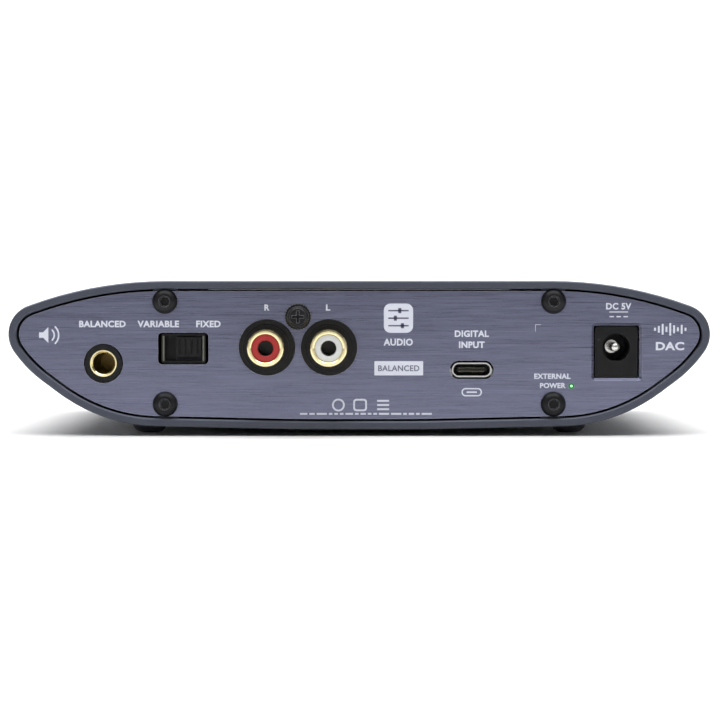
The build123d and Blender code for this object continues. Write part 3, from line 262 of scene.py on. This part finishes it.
def anodised(name, colour, edge_colour, roughness, grain_scale, bump, metallic=0.75):
    """Blasted and anodised aluminium."""
    finish, tree, shader = material_of(name)
    tooth = use(tree, grain, Grain=grain_scale, Drift=45.0)
    rim = use(tree, edge_wear_and_highlight, Width=0.00022, Patch=600.0)
    specks = use(tree, dust, Spread=260.0, Share=0.12)
    body = mixed(tree, tooth.outputs["Cloud"], toned(colour, 0.9), toned(colour, 1.12))
    body = washed(tree, body, tooth.outputs["Speckle"], 0.35, toned(colour, 1.5))
    # lighter colour along the edges: partly worn metal, partly a painted highlight
    body = washed(tree, body, rim.outputs["Edge"], 0.7, edge_colour)
    body = washed(tree, body, specks.outputs["Speck"], 0.25, (0.45, 0.45, 0.46))
    tree.links.new(body, shader.inputs["Base Color"])
    roughened(tree, shader, tooth.outputs["Speckle"], 0.16, roughness - 0.08)
    shader.inputs["Metallic"].default_value = metallic
    shader.inputs["IOR"].default_value = 1.6
    bumped(tree, shader, tooth.outputs["Speckle"], 0.35, bump)
    return finish


# the second colour lies along the shell's edges: partly worn metal, partly a painted highlight
shell_finish = anodised("anodised_shell", (0.062, 0.068, 0.090), (0.22, 0.235, 0.28), 0.44, 7000.0, 0.00003)
dress("shell", shell_finish)

# ---------------------------------------------------------------- rear panel
# A plate of aluminium 1.5 mm thick, punched, then brushed from side to side and anodised
# in the shell's colour.  The brushing leaves long thin streaks that catch the light.
brushing, inlet, outlet = group_of(
    "brushing", {"Along": 70.0, "Across": 3600.0, "Broad": 500.0}, ["Streak", "Band"]
)
place = add(brushing, "ShaderNodeTexCoord")
parts = add(brushing, "ShaderNodeSeparateXYZ", {0: place.outputs["Object"]})
fine_place = add(brushing, "ShaderNodeCombineXYZ", {
    0: worked(brushing, "MULTIPLY", parts.outputs["X"], inlet.outputs["Along"]),
    1: worked(brushing, "MULTIPLY", parts.outputs["Y"], inlet.outputs["Broad"]),
    2: worked(brushing, "MULTIPLY", parts.outputs["Z"], inlet.outputs["Across"])})
fine = add(brushing, "ShaderNodeTexNoise", {
    "Vector": fine_place.outputs[0], "Scale": 1.0, "Detail": 5.0, "Roughness": 0.7})
band_place = add(brushing, "ShaderNodeCombineXYZ", {
    0: worked(brushing, "MULTIPLY", parts.outputs["X"],
              worked(brushing, "MULTIPLY", inlet.outputs["Along"], 0.45)),
    1: 0.0,
    2: worked(brushing, "MULTIPLY", parts.outputs["Z"], inlet.outputs["Broad"])})
band = add(brushing, "ShaderNodeTexNoise", {
    "Vector": band_place.outputs[0], "Scale": 1.0, "Detail": 3.0, "Roughness": 0.55})
brushing.links.new(fine.outputs["Fac"], outlet.inputs["Streak"])
brushing.links.new(band.outputs["Fac"], outlet.inputs["Band"])


def brushed(name, colour, edge_colour, roughness):
    """Brushed and anodised plate."""
    finish, tree, shader = material_of(name)
    strokes = use(tree, brushing)
    tooth = use(tree, grain, Grain=9000.0, Drift=30.0)
    rim = use(tree, edge_wear_and_highlight, Width=0.00018, Patch=500.0)
    streak = add(tree, "ShaderNodeMapRange", {
        "Value": strokes.outputs["Streak"], "From Min": 0.33, "From Max": 0.67}).outputs[0]
    band = add(tree, "ShaderNodeMapRange", {
        "Value": strokes.outputs["Band"], "From Min": 0.3, "From Max": 0.7}).outputs[0]
    body = mixed(tree, streak, toned(colour, 0.72), toned(colour, 1.3))
    body = washed(tree, body, band, 0.4, toned(colour, 1.35))
    body = washed(tree, body, tooth.outputs["Cloud"], 0.2, toned(colour, 0.8))
    # lighter colour along the edges and round the holes: a painted highlight, with some worn metal
    body = washed(tree, body, rim.outputs["Edge"], 0.85, edge_colour)
    tree.links.new(body, shader.inputs["Base Color"])
    roughened(tree, shader, streak, 0.14, roughness - 0.07)
    shader.inputs["Metallic"].default_value = 0.8
    shader.inputs["Anisotropic"].default_value = 0.5
    bumped(tree, shader, strokes.outputs["Streak"], 0.5, 0.00002)
    return finish


# the second colour lies on the panel's edges and hole rims: a painted highlight, with some worn metal
panel_finish = brushed("brushed_panel", (0.135, 0.14, 0.205), (0.50, 0.51, 0.58), 0.30)
dress("rear_panel", panel_finish)

# ---------------------------------------------------------------- printed legends
# White ink screen-printed on the rear panel: a word or a plain sign beside each socket,
# a tile and a label between the sockets, and a row of small print near the bottom.
ink_rise = 0.02 * mm
ink_thick = 0.02 * mm


def facing_rear(right, up, lift):
    """A point of the rear face: right and up as read from behind, lift towards the reader."""
    return Vector((-right * mm, panel_face_y + lift, up * mm))


def patch_of(mesh, outline, lift=ink_rise, thick=ink_thick, facing=facing_rear):
    """A flat inked patch with the outline's shape, in millimetres on the face."""
    top = [mesh.verts.new(facing(u, v, lift + thick)) for u, v in outline]
    low = [mesh.verts.new(facing(u, v, lift)) for u, v in outline]
    mesh.faces.new(top)
    mesh.faces.new(low[::-1])
    for a in range(len(outline)):
        b = (a + 1) % len(outline)
        mesh.faces.new((top[b], top[a], low[a], low[b]))


def bar(mesh, u, v, width, height, **lift):
    """A rectangular patch centred on u, v."""
    w, h = width / 2, height / 2
    patch_of(mesh, [(u - w, v - h), (u + w, v - h), (u + w, v + h), (u - w, v + h)], **lift)


def band_of(mesh, outer, inner, closed=True):
    """An inked band of even width between two outlines with as many points each."""
    if not closed:
        patch_of(mesh, outer + inner[::-1])
        return
    loops = []
    for outline in (outer, inner):
        for rise in (ink_rise + ink_thick, ink_rise):
            loops.append([mesh.verts.new(facing_rear(u, v, rise)) for u, v in outline])
    outer_top, outer_low, inner_top, inner_low = loops
    for a in range(len(outer)):
        b = (a + 1) % len(outer)
        mesh.faces.new((outer_top[a], outer_top[b], inner_top[b], inner_top[a]))
        mesh.faces.new((outer_low[b], outer_low[a], inner_low[a], inner_low[b]))
        mesh.faces.new((outer_top[b], outer_top[a], outer_low[a], outer_low[b]))
        mesh.faces.new((inner_top[a], inner_top[b], inner_low[b], inner_low[a]))


def arc(u, v, radius, start, end, steps=14):
    """Points along an arc, angles in degrees."""
    turns = [math.radians(start + (end - start) * i / steps) for i in range(steps + 1)]
    return [(u + radius * math.cos(a), v + radius * math.sin(a)) for a in turns]


def rounded_box(u, v, width, height, radius):
    """The outline of a box with rounded corners."""
    w, h = width / 2 - radius, height / 2 - radius
    corners = [(w, h, 0), (-w, h, 90), (-w, -h, 180), (w, -h, 270)]
    return [p for x, y, a in corners for p in arc(u + x, v + y, radius, a, a + 90, 6)]


def word(mesh, letters, u, v, width, height, weight=0.035, lift=ink_rise, facing=facing_rear):
    """A printed word, centred on u, v, as wide and as high as asked."""
    curve = bpy.data.curves.new("word", "FONT")
    curve.body = letters
    curve.offset = weight
    curve.resolution_u = 3
    curve.space_character = 1.06
    text = bpy.data.objects.new("word", curve)
    bpy.context.scene.collection.objects.link(text)
    bpy.context.view_layer.update()
    flat = bpy.data.meshes.new_from_object(text.evaluated_get(bpy.context.evaluated_depsgraph_get()))
    xs = [p.co.x for p in flat.vertices]
    ys = [p.co.y for p in flat.vertices]
    across, tall = max(xs) - min(xs), max(ys) - min(ys)
    middle_x, middle_y = (max(xs) + min(xs)) / 2, (max(ys) + min(ys)) / 2
    spots = [
        (u + (p.co.x - middle_x) / across * width, v + (p.co.y - middle_y) / tall * height)
        for p in flat.vertices
    ]
    top = [mesh.verts.new(facing(a, b, lift + ink_thick)) for a, b in spots]
    low = [mesh.verts.new(facing(a, b, lift)) for a, b in spots]
    borders = {}
    for face in flat.polygons:
        ring = list(face.vertices)
        mesh.faces.new([top[i] for i in ring])
        mesh.faces.new([low[i] for i in ring[::-1]])
        for a, b in zip(ring, ring[1:] + ring[:1]):
            pair = (min(a, b), max(a, b))
            borders[pair] = None if pair in borders else (a, b)
    for a, b in [edge for edge in borders.values() if edge]:
        mesh.faces.new((top[b], top[a], low[a], low[b]))
    bpy.data.objects.remove(text)
    bpy.data.meshes.remove(flat)


def printed(name, mesh, finish):
    """Turns the patches into one piece on the housing."""
    bmesh.ops.recalc_face_normals(mesh, faces=mesh.faces)
    data = bpy.data.meshes.new(name)
    mesh.to_mesh(data)
    mesh.free()
    data.materials.append(finish)
    piece = bpy.data.objects.new(name, data)
    bpy.context.scene.collection.objects.link(piece)
    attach(piece, "housing")
    return piece


white_ink, tree, shader = material_of("white_ink")
tooth = use(tree, grain, Grain=12000.0, Drift=900.0)
body = mixed(tree, tooth.outputs["Speckle"], (0.50, 0.52, 0.60), (0.70, 0.72, 0.80))
tree.links.new(body, shader.inputs["Base Color"])
shader.inputs["Roughness"].default_value = 0.55
bumped(tree, shader, tooth.outputs["Speckle"], 0.3, 0.00001)

ink = bmesh.new()
# each word with its middle, width and height
for label, right, up, width, height in (
        ("BALANCED", -57.9, 25.3, 10.5, 1.5),
        ("VARIABLE", -45.3, 25.3, 9.4, 1.5),
        ("FIXED", -34.0, 25.3, 5.5, 1.5),
        ("R", -20.8, 29.0, 1.15, 1.4),
        ("L", -7.0, 29.0, 1.0, 1.4),
        ("DIGITAL", 25.4, 23.1, 7.7, 1.5),
        ("INPUT", 25.4, 20.6, 5.8, 1.5),
        ("EXTERNAL", 43.6, 13.5, 8.2, 1.2),
        ("POWER", 43.7, 11.4, 5.8, 1.2),
        ("DC 5V", 58.5, 29.3, 5.7, 1.5),
        ("AUDIO", 8.8, 21.2, 6.6, 1.6),
        ("DAC", 70.1, 20.3, 6.4, 1.9)):
    word(ink, label, right, up, width, height)
# direct-current sign over the inlet: a line above three dashes
bar(ink, 58.5, 28.0, 4.2, 0.22)
for step in (-1, 0, 1):
    bar(ink, 58.5 + step * 1.58, 26.95, 0.98, 0.26)
# corner mark left of the inlet
bar(ink, 39.75, 24.4, 0.12, 1.6)
bar(ink, 40.4, 25.14, 1.18, 0.12)
# sound icon at the far left: a loudspeaker with two waves
patch_of(ink, [(-72.2, 22.2), (-71.3, 22.2), (-70.1, 21.0), (-70.1, 24.6), (-71.3, 23.4), (-72.2, 23.4)])
for reach in (1.45, 2.45):
    band_of(ink, arc(-70.4, 22.8, reach + 0.34, -48, 48), arc(-70.4, 22.8, reach, -48, 48), closed=False)
# level bars at the far right
for step, rise in enumerate((0.7, 1.5, 2.4, 1.2, 2.8, 1.8, 0.9, 2.0, 0.7)):
    bar(ink, 66.7 + step * 0.86, 24.1, 0.42, rise)
# sign of the digital inlet: a plug mouth
band_of(ink, rounded_box(25.4, 9.9, 4.6, 1.9, 0.9), rounded_box(25.4, 9.9, 4.0, 1.3, 0.6))
bar(ink, 25.4, 9.9, 2.3, 0.35)
# three plain signs in a row near the bottom
band_of(ink, arc(-4.7, 7.0, 1.45, 0, 345, 23), arc(-4.7, 7.0, 1.05, 0, 345, 23))
band_of(ink, rounded_box(0.2, 7.0, 3.1, 2.8, 0.7), rounded_box(0.2, 7.0, 2.3, 2.0, 0.4))
for step in (-1, 0, 1):
    bar(ink, 5.4, 7.0 + step * 0.95, 2.7, 0.42)
# small print, kept as word-long dashes
rng = random.Random(7)
edge = -13.4
while edge < 14.2:
    length = rng.choice((0.8, 1.2, 1.7, 2.3))
    bar(ink, edge + length / 2, 5.0, length, 0.42)
    edge += length + 0.45
printed("rear_legends", ink, white_ink)

# the tile and the label are solid ink with their signs left dark
tile_u, tile_v = 8.85, 26.6
label_u, label_v = 8.93, 15.3
solid_ink = bmesh.new()
patch_of(solid_ink, rounded_box(tile_u, tile_v, 6.6, 6.6, 1.5))
patch_of(solid_ink, rounded_box(label_u, label_v, 11.0, 3.2, 0.15))
printed("rear_label_tiles", solid_ink, white_ink)

dark_ink, tree, shader = material_of("bare_panel_letters")
strokes = use(tree, brushing)
body = mixed(tree, strokes.outputs["Streak"], (0.09, 0.09, 0.14), (0.16, 0.16, 0.24))
tree.links.new(body, shader.inputs["Base Color"])
shader.inputs["Roughness"].default_value = 0.5
shader.inputs["Metallic"].default_value = 0.6
letters = bmesh.new()
above = ink_rise + ink_thick + 0.01 * mm
word(letters, "BALANCED", label_u, label_v, 9.3, 1.35, weight=0.018, lift=above)
for step, knob in ((-1.7, 0.9), (0.0, -0.7), (1.7, 0.3)):
    bar(letters, tile_u, tile_v + step, 4.6, 0.32, lift=above)
    bar(letters, tile_u + knob, tile_v + step, 0.7, 1.15, lift=above)
printed("rear_label_letters", letters, dark_ink)

# ---------------------------------------------------------------- screws
# Black-oxide button-head screws with a hex socket hold the rear panel to the shell's
# ports; one washer-head screw holds the socket block.  Their oil finish is slightly shiny, and the pale
# grey on their edges and sockets is a painted glint.
black_steel, tree, shader = material_of("black_steel")
tooth = use(tree, grain, Grain=5000.0, Drift=500.0)
rim = use(tree, edge_wear_and_highlight, Width=0.00022, Patch=3500.0)
body = mixed(tree, tooth.outputs["Cloud"], (0.003, 0.003, 0.004), (0.010, 0.010, 0.012))
# pale grey on the edges and in the hex socket: painted glints
body = mixed(tree, rim.outputs["Edge"], body, (0.30, 0.30, 0.32))
tree.links.new(body, shader.inputs["Base Color"])
roughened(tree, shader, tooth.outputs["Speckle"], 0.2, 0.24)
shader.inputs["Specular IOR Level"].default_value = 0.2
bumped(tree, shader, tooth.outputs["Speckle"], 0.3, 0.00002)
for name in ("rear_panel_screws", "rca_screw", "front_panel_screws", "knob_set_screw"):
    dress(name, black_steel)

# ---------------------------------------------------------------- moulded black plastic
# The socket bodies, the slide switch and the push switches are moulded in glass-filled
# nylon, with a fine matt texture and a painted sheen along their edges.
nylon_deep = (0.003, 0.003, 0.0035)
nylon_pale = (0.009, 0.009, 0.010)
black_plastic, tree, shader = material_of("black_plastic")
tooth = use(tree, grain, Grain=6000.0, Drift=300.0)
rim = use(tree, edge_wear_and_highlight, Width=0.0002, Patch=1200.0)
specks = use(tree, dust, Spread=700.0, Share=0.15)
body = mixed(tree, tooth.outputs["Cloud"], nylon_deep, nylon_pale)
# a lighter colour along the edges: a painted sheen
body = washed(tree, body, rim.outputs["Edge"], 0.5, (0.05, 0.05, 0.053))
body = washed(tree, body, specks.outputs["Speck"], 0.3, (0.3, 0.3, 0.3))
tree.links.new(body, shader.inputs["Base Color"])
roughened(tree, shader, tooth.outputs["Speckle"], 0.2, 0.32)
shader.inputs["Specular IOR Level"].default_value = 0.2
bumped(tree, shader, tooth.outputs["Speckle"], 0.4, 0.00003)
for name in ("rca_block", "switch_base", "switch_frame", "switch_slider", "usb_tongue", "dc_jack_body",
             "tact_switches", "jack6_body"):
    dress(name, black_plastic)

# ---------------------------------------------------------------- socket metal
# The audio sockets' sleeves and lips are turned brass with a thin gold plate; the DC
# contacts, nuts and metal cases are nickel-plated or tinned.


def plated(name, colour, deep, roughness):
    """Bright plated metal with faint turning marks."""
    finish, tree, shader = material_of(name)
    tooth = use(tree, grain, Grain=4000.0, Drift=700.0)
    rim = use(tree, edge_wear_and_highlight, Width=0.00012, Patch=1800.0)
    body = mixed(tree, tooth.outputs["Cloud"], deep, colour)
    # brighter along the edges: a painted sheen
    body = washed(tree, body, rim.outputs["Edge"], 0.4, toned(colour, 1.15))
    tree.links.new(body, shader.inputs["Base Color"])
    roughened(tree, shader, tooth.outputs["Cloud"], 0.14, roughness - 0.07)
    shader.inputs["Metallic"].default_value = 1.0
    bumped(tree, shader, tooth.outputs["Speckle"], 0.15, 0.00001)
    return finish


gold = plated("gold_plate", (0.95, 0.85, 0.52), (0.84, 0.70, 0.36), 0.17)
nickel = plated("nickel_plate", (0.72, 0.71, 0.68), (0.56, 0.55, 0.52), 0.24)
tin = plated("tin_plate", (0.62, 0.62, 0.6), (0.46, 0.46, 0.45), 0.36)
for name in ("rca_sleeves", "rear_jack4_bush", "front_jack4_bush", "usb_pads"):
    dress(name, gold)
for name in ("dc_centre_pin", "dc_spring", "pot_bush", "pot_washer", "pot_nut",
             "pot_shaft", "jack6_bush"):
    dress(name, nickel)
for name in ("usb_shell", "pot_body", "clock_crystals"):
    dress(name, tin)
dress("switch_cheeks", plated("dull_steel", (0.2, 0.2, 0.17), (0.09, 0.09, 0.08), 0.42))
# the centre contacts are near-black: painted shade deep in the socket holes
dress("rca_centre_contacts", plated("painted_shade_contact", (0.045, 0.042, 0.038), (0.02, 0.02, 0.019), 0.3))

# ---------------------------------------------------------------- coloured plastic
# The insulators in the sleeves are glossy red and white mouldings, with painted shade in their
# bores; lenses are clear tinted acrylic over their diodes.


# a mask of what lies within a radius of a fore-and-aft line, with a soft rim
within_line, inlet, outlet = group_of(
    "within_line", {"Line X": 0.0, "Line Z": 0.0, "Radius": 0.001, "Rim": 0.0001}, ["Inside"]
)
place = add(within_line, "ShaderNodeTexCoord")
parts = add(within_line, "ShaderNodeSeparateXYZ", {0: place.outputs["Object"]})
aside = worked(within_line, "SUBTRACT", parts.outputs["X"], inlet.outputs["Line X"])
above = worked(within_line, "SUBTRACT", parts.outputs["Z"], inlet.outputs["Line Z"])
reach = add(within_line, "ShaderNodeCombineXYZ", {0: aside, 1: 0.0, 2: above})
reach = add(within_line, "ShaderNodeVectorMath", {0: reach.outputs[0]}, operation="LENGTH")
short = worked(within_line, "SUBTRACT", inlet.outputs["Radius"], reach.outputs["Value"])
short = worked(within_line, "DIVIDE", short, inlet.outputs["Rim"], clamp=True)
within_line.links.new(short, outlet.inputs["Inside"])


def middle_of(node):
    """The X and Z of the middle of a CAD node."""
    low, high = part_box(node)
    return (low.x + high.x) / 2, (low.z + high.z) / 2


def moulded(name, colour, roughness, glow=0.0, heart=None):
    """Glossy coloured moulding; the heart gives a line, a radius and the colour inside it: painted shade in
    the sockets' bores, and the lit middle of the status lens.
    """
    finish, tree, shader = material_of(name)
    tooth = use(tree, grain, Grain=3000.0, Drift=600.0)
    rim = use(tree, edge_wear_and_highlight, Width=0.0002, Patch=900.0)
    body = mixed(tree, tooth.outputs["Cloud"], toned(colour, 0.86), toned(colour, 1.1))
    # lighter along the edges: a painted sheen
    body = washed(tree, body, rim.outputs["Edge"], 0.3, toned(colour, 1.3, 0.05))
    if heart:
        (line_x, line_z), radius, inner = heart
        core = use(tree, within_line, Line_X=line_x, Line_Z=line_z, Radius=radius, Rim=radius * 0.12)
        body = mixed(tree, core.outputs["Inside"], body, inner)
    tree.links.new(body, shader.inputs["Base Color"])
    roughened(tree, shader, tooth.outputs["Speckle"], 0.12, roughness - 0.06)
    if glow:
        tree.links.new(body, shader.inputs["Emission Color"])
        shader.inputs["Emission Strength"].default_value = glow
    bumped(tree, shader, tooth.outputs["Speckle"], 0.2, 0.00002)
    return finish


# the insulators are near-black within this radius of their axis: painted shade deep in the holes
painted_bore_shade = (0.004, 0.004, 0.004)
socket_radius = 1.82 * mm
red_bore_shade = (middle_of("rca_insulator_red"), socket_radius, painted_bore_shade)
white_bore_shade = (middle_of("rca_insulator_white"), socket_radius, painted_bore_shade)
dress("rca_insulator_red", moulded("red_insulator", (0.34, 0.012, 0.010), 0.34, heart=red_bore_shade))
dress("rca_insulator_white", moulded("white_insulator", (0.60, 0.61, 0.60), 0.34, heart=white_bore_shade))
lit_heart = (middle_of("status_lens"), 0.32 * mm, (0.42, 0.95, 0.50))
dress("status_lens", moulded("green_lens", (0.008, 0.15, 0.03), 0.2, glow=0.35, heart=lit_heart))
dress("front_lenses", moulded("white_lens", (0.8, 0.82, 0.85), 0.25, glow=0.3))
white_plastic = moulded("white_plastic", (0.7, 0.7, 0.68), 0.45)

# The 4.4 mm jacks are lined with brass rings that the plug slides in; the brass is darkened as painted
# shade deep in the bore.


def lined(name, node, radius):
    """Black plastic with a brass lining in the bore around the node's middle line, the brass darkened as
    painted shade.
    """
    finish, tree, shader = material_of(name)
    line_x, line_z = middle_of(node)
    tooth = use(tree, grain, Grain=6000.0, Drift=300.0)
    bore = use(tree, within_line, Line_X=line_x, Line_Z=line_z, Radius=radius, Rim=0.00004)
    body = mixed(tree, tooth.outputs["Cloud"], nylon_deep, nylon_pale)
    # brass darkened well below its own colour: painted shade in the bore
    shaded_brass = mixed(tree, tooth.outputs["Cloud"], (0.16, 0.11, 0.035), (0.27, 0.20, 0.075))
    tree.links.new(mixed(tree, bore.outputs["Inside"], body, shaded_brass), shader.inputs["Base Color"])
    tree.links.new(bore.outputs["Inside"], shader.inputs["Metallic"])
    roughened(tree, shader, tooth.outputs["Speckle"], 0.2, 0.30)
    shader.inputs["Specular IOR Level"].default_value = 0.2
    bumped(tree, shader, tooth.outputs["Speckle"], 0.4, 0.00003)
    return finish


lining_radius = 2.6 * mm
dress("rear_jack4_body", lined("rear_jack_lining", "rear_jack4_bush", lining_radius))
dress("front_jack4_body", lined("front_jack_lining", "front_jack4_bush", lining_radius))
for name in ("status_diode", "front_diodes", "knob_pointer", "relays"):
    dress(name, white_plastic)

# ---------------------------------------------------------------- front
# The front is closed by a brushed fascia that is glued to a black steel sub-panel, with
# a turned aluminium knob and two buttons.
dress("front_fascia", panel_finish)
dress("fascia_adhesive", black_plastic)
dress("front_sub_panel", black_steel)


def turned(name, node, colour, edge_colour, roughness):
    """Anodised aluminium with the fine rings of the lathe around the node's middle."""
    finish, tree, shader = material_of(name)
    line_x, line_z = middle_of(node)
    place = add(tree, "ShaderNodeTexCoord")
    parts = add(tree, "ShaderNodeSeparateXYZ", {0: place.outputs["Object"]})
    aside = worked(tree, "SUBTRACT", parts.outputs["X"], line_x)
    above = worked(tree, "SUBTRACT", parts.outputs["Z"], line_z)
    reach = add(tree, "ShaderNodeCombineXYZ", {0: aside, 1: 0.0, 2: above})
    reach = add(tree, "ShaderNodeVectorMath", {0: reach.outputs[0]}, operation="LENGTH")
    ring_place = add(tree, "ShaderNodeCombineXYZ", {
        0: worked(tree, "MULTIPLY", reach.outputs["Value"], 5200.0),
        1: worked(tree, "MULTIPLY", parts.outputs["Y"], 5200.0),
        2: 0.0})
    rings = add(tree, "ShaderNodeTexNoise", {
        "Vector": ring_place.outputs[0], "Scale": 1.0, "Detail": 3.0, "Roughness": 0.6})
    rim = use(tree, edge_wear_and_highlight, Width=0.0003, Patch=900.0)
    specks = use(tree, dust, Spread=400.0, Share=0.1)
    body = mixed(tree, rings.outputs["Fac"], toned(colour, 0.72), toned(colour, 1.3))
    body = washed(tree, body, rim.outputs["Edge"], 0.8, edge_colour)
    body = washed(tree, body, specks.outputs["Speck"], 0.25, (0.45, 0.45, 0.46))
    tree.links.new(body, shader.inputs["Base Color"])
    roughened(tree, shader, rings.outputs["Fac"], 0.2, roughness - 0.1)
    shader.inputs["Metallic"].default_value = 0.9
    shader.inputs["Anisotropic"].default_value = 0.4
    bumped(tree, shader, rings.outputs["Fac"], 0.4, 0.00002)
    return finish


for name in ("volume_knob", "power_button", "gain_button"):
    dress(name, turned("turned_" + name, name, (0.17, 0.18, 0.215), (0.5, 0.52, 0.56), 0.34))

# White marks on the fascia: a dial of dots around the knob with its two ends, and a
# plain word under each control.  They are printed in the same ink as the rear.
fascia_face_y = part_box("front_fascia")[0].y
knob_x, knob_z = middle_of("volume_knob")


def facing_front(right, up, lift):
    """A point of the front face: right and up as read from the front, in millimetres."""
    return Vector((right * mm, fascia_face_y - lift, up * mm))


dial_radius = 13.6
dial_low, dial_high = 4.0, 31.5
front_ink = bmesh.new()
for step in range(11):
    turn = math.radians(240 - step * 30)
    dot_x = knob_x / mm + dial_radius * math.cos(turn)
    dot_z = knob_z / mm + dial_radius * math.sin(turn)
    if dial_low < dot_z < dial_high:
        patch_of(front_ink, arc(dot_x, dot_z, 0.32, 0, 330, 11), facing=facing_front)
for label, node, width in (("POWER", "power_button", 6.0), ("GAIN", "gain_button", 4.4),
                           ("6.3", "jack6_bush", 2.7), ("4.4", "front_jack4_bush", 2.8)):
    word(front_ink, label, middle_of(node)[0] / mm, 11.0, width, 1.3, facing=facing_front)
printed("front_legends", front_ink, white_ink)

# ---------------------------------------------------------------- board and its parts
# The main board is a dark green-blue laminate; the parts on it are black packages, sleeved
# cans and dipped film capacitors.  None of it shows when the unit is closed.
dress("main_board", moulded("solder_mask", (0.012, 0.05, 0.06), 0.4))
for name in ("dac_chip", "usb_controller", "op_amps", "power_inductors", "regulators"):
    dress(name, black_plastic)
for name in ("power_capacitors", "audio_capacitors"):
    dress(name, moulded("capacitor_sleeve", (0.03, 0.035, 0.06), 0.4))
dress("film_capacitors", moulded("film_dip", (0.5, 0.06, 0.04), 0.35))
dress("small_passives", moulded("ceramic", (0.4, 0.32, 0.22), 0.5))

# ---------------------------------------------------------------- feet
# Four self-adhesive domes of dark rubber.
rubber, tree, shader = material_of("rubber_foot")
tooth = use(tree, grain, Grain=4500.0, Drift=500.0)
specks = use(tree, dust, Spread=500.0, Share=0.3)
body = mixed(tree, tooth.outputs["Cloud"], (0.035, 0.036, 0.045), (0.06, 0.062, 0.075))
body = washed(tree, body, specks.outputs["Speck"], 0.4, (0.3, 0.3, 0.3))
tree.links.new(body, shader.inputs["Base Color"])
roughened(tree, shader, tooth.outputs["Speckle"], 0.2, 0.42)
bumped(tree, shader, tooth.outputs["Speckle"], 0.4, 0.00003)
dress("feet", rubber)
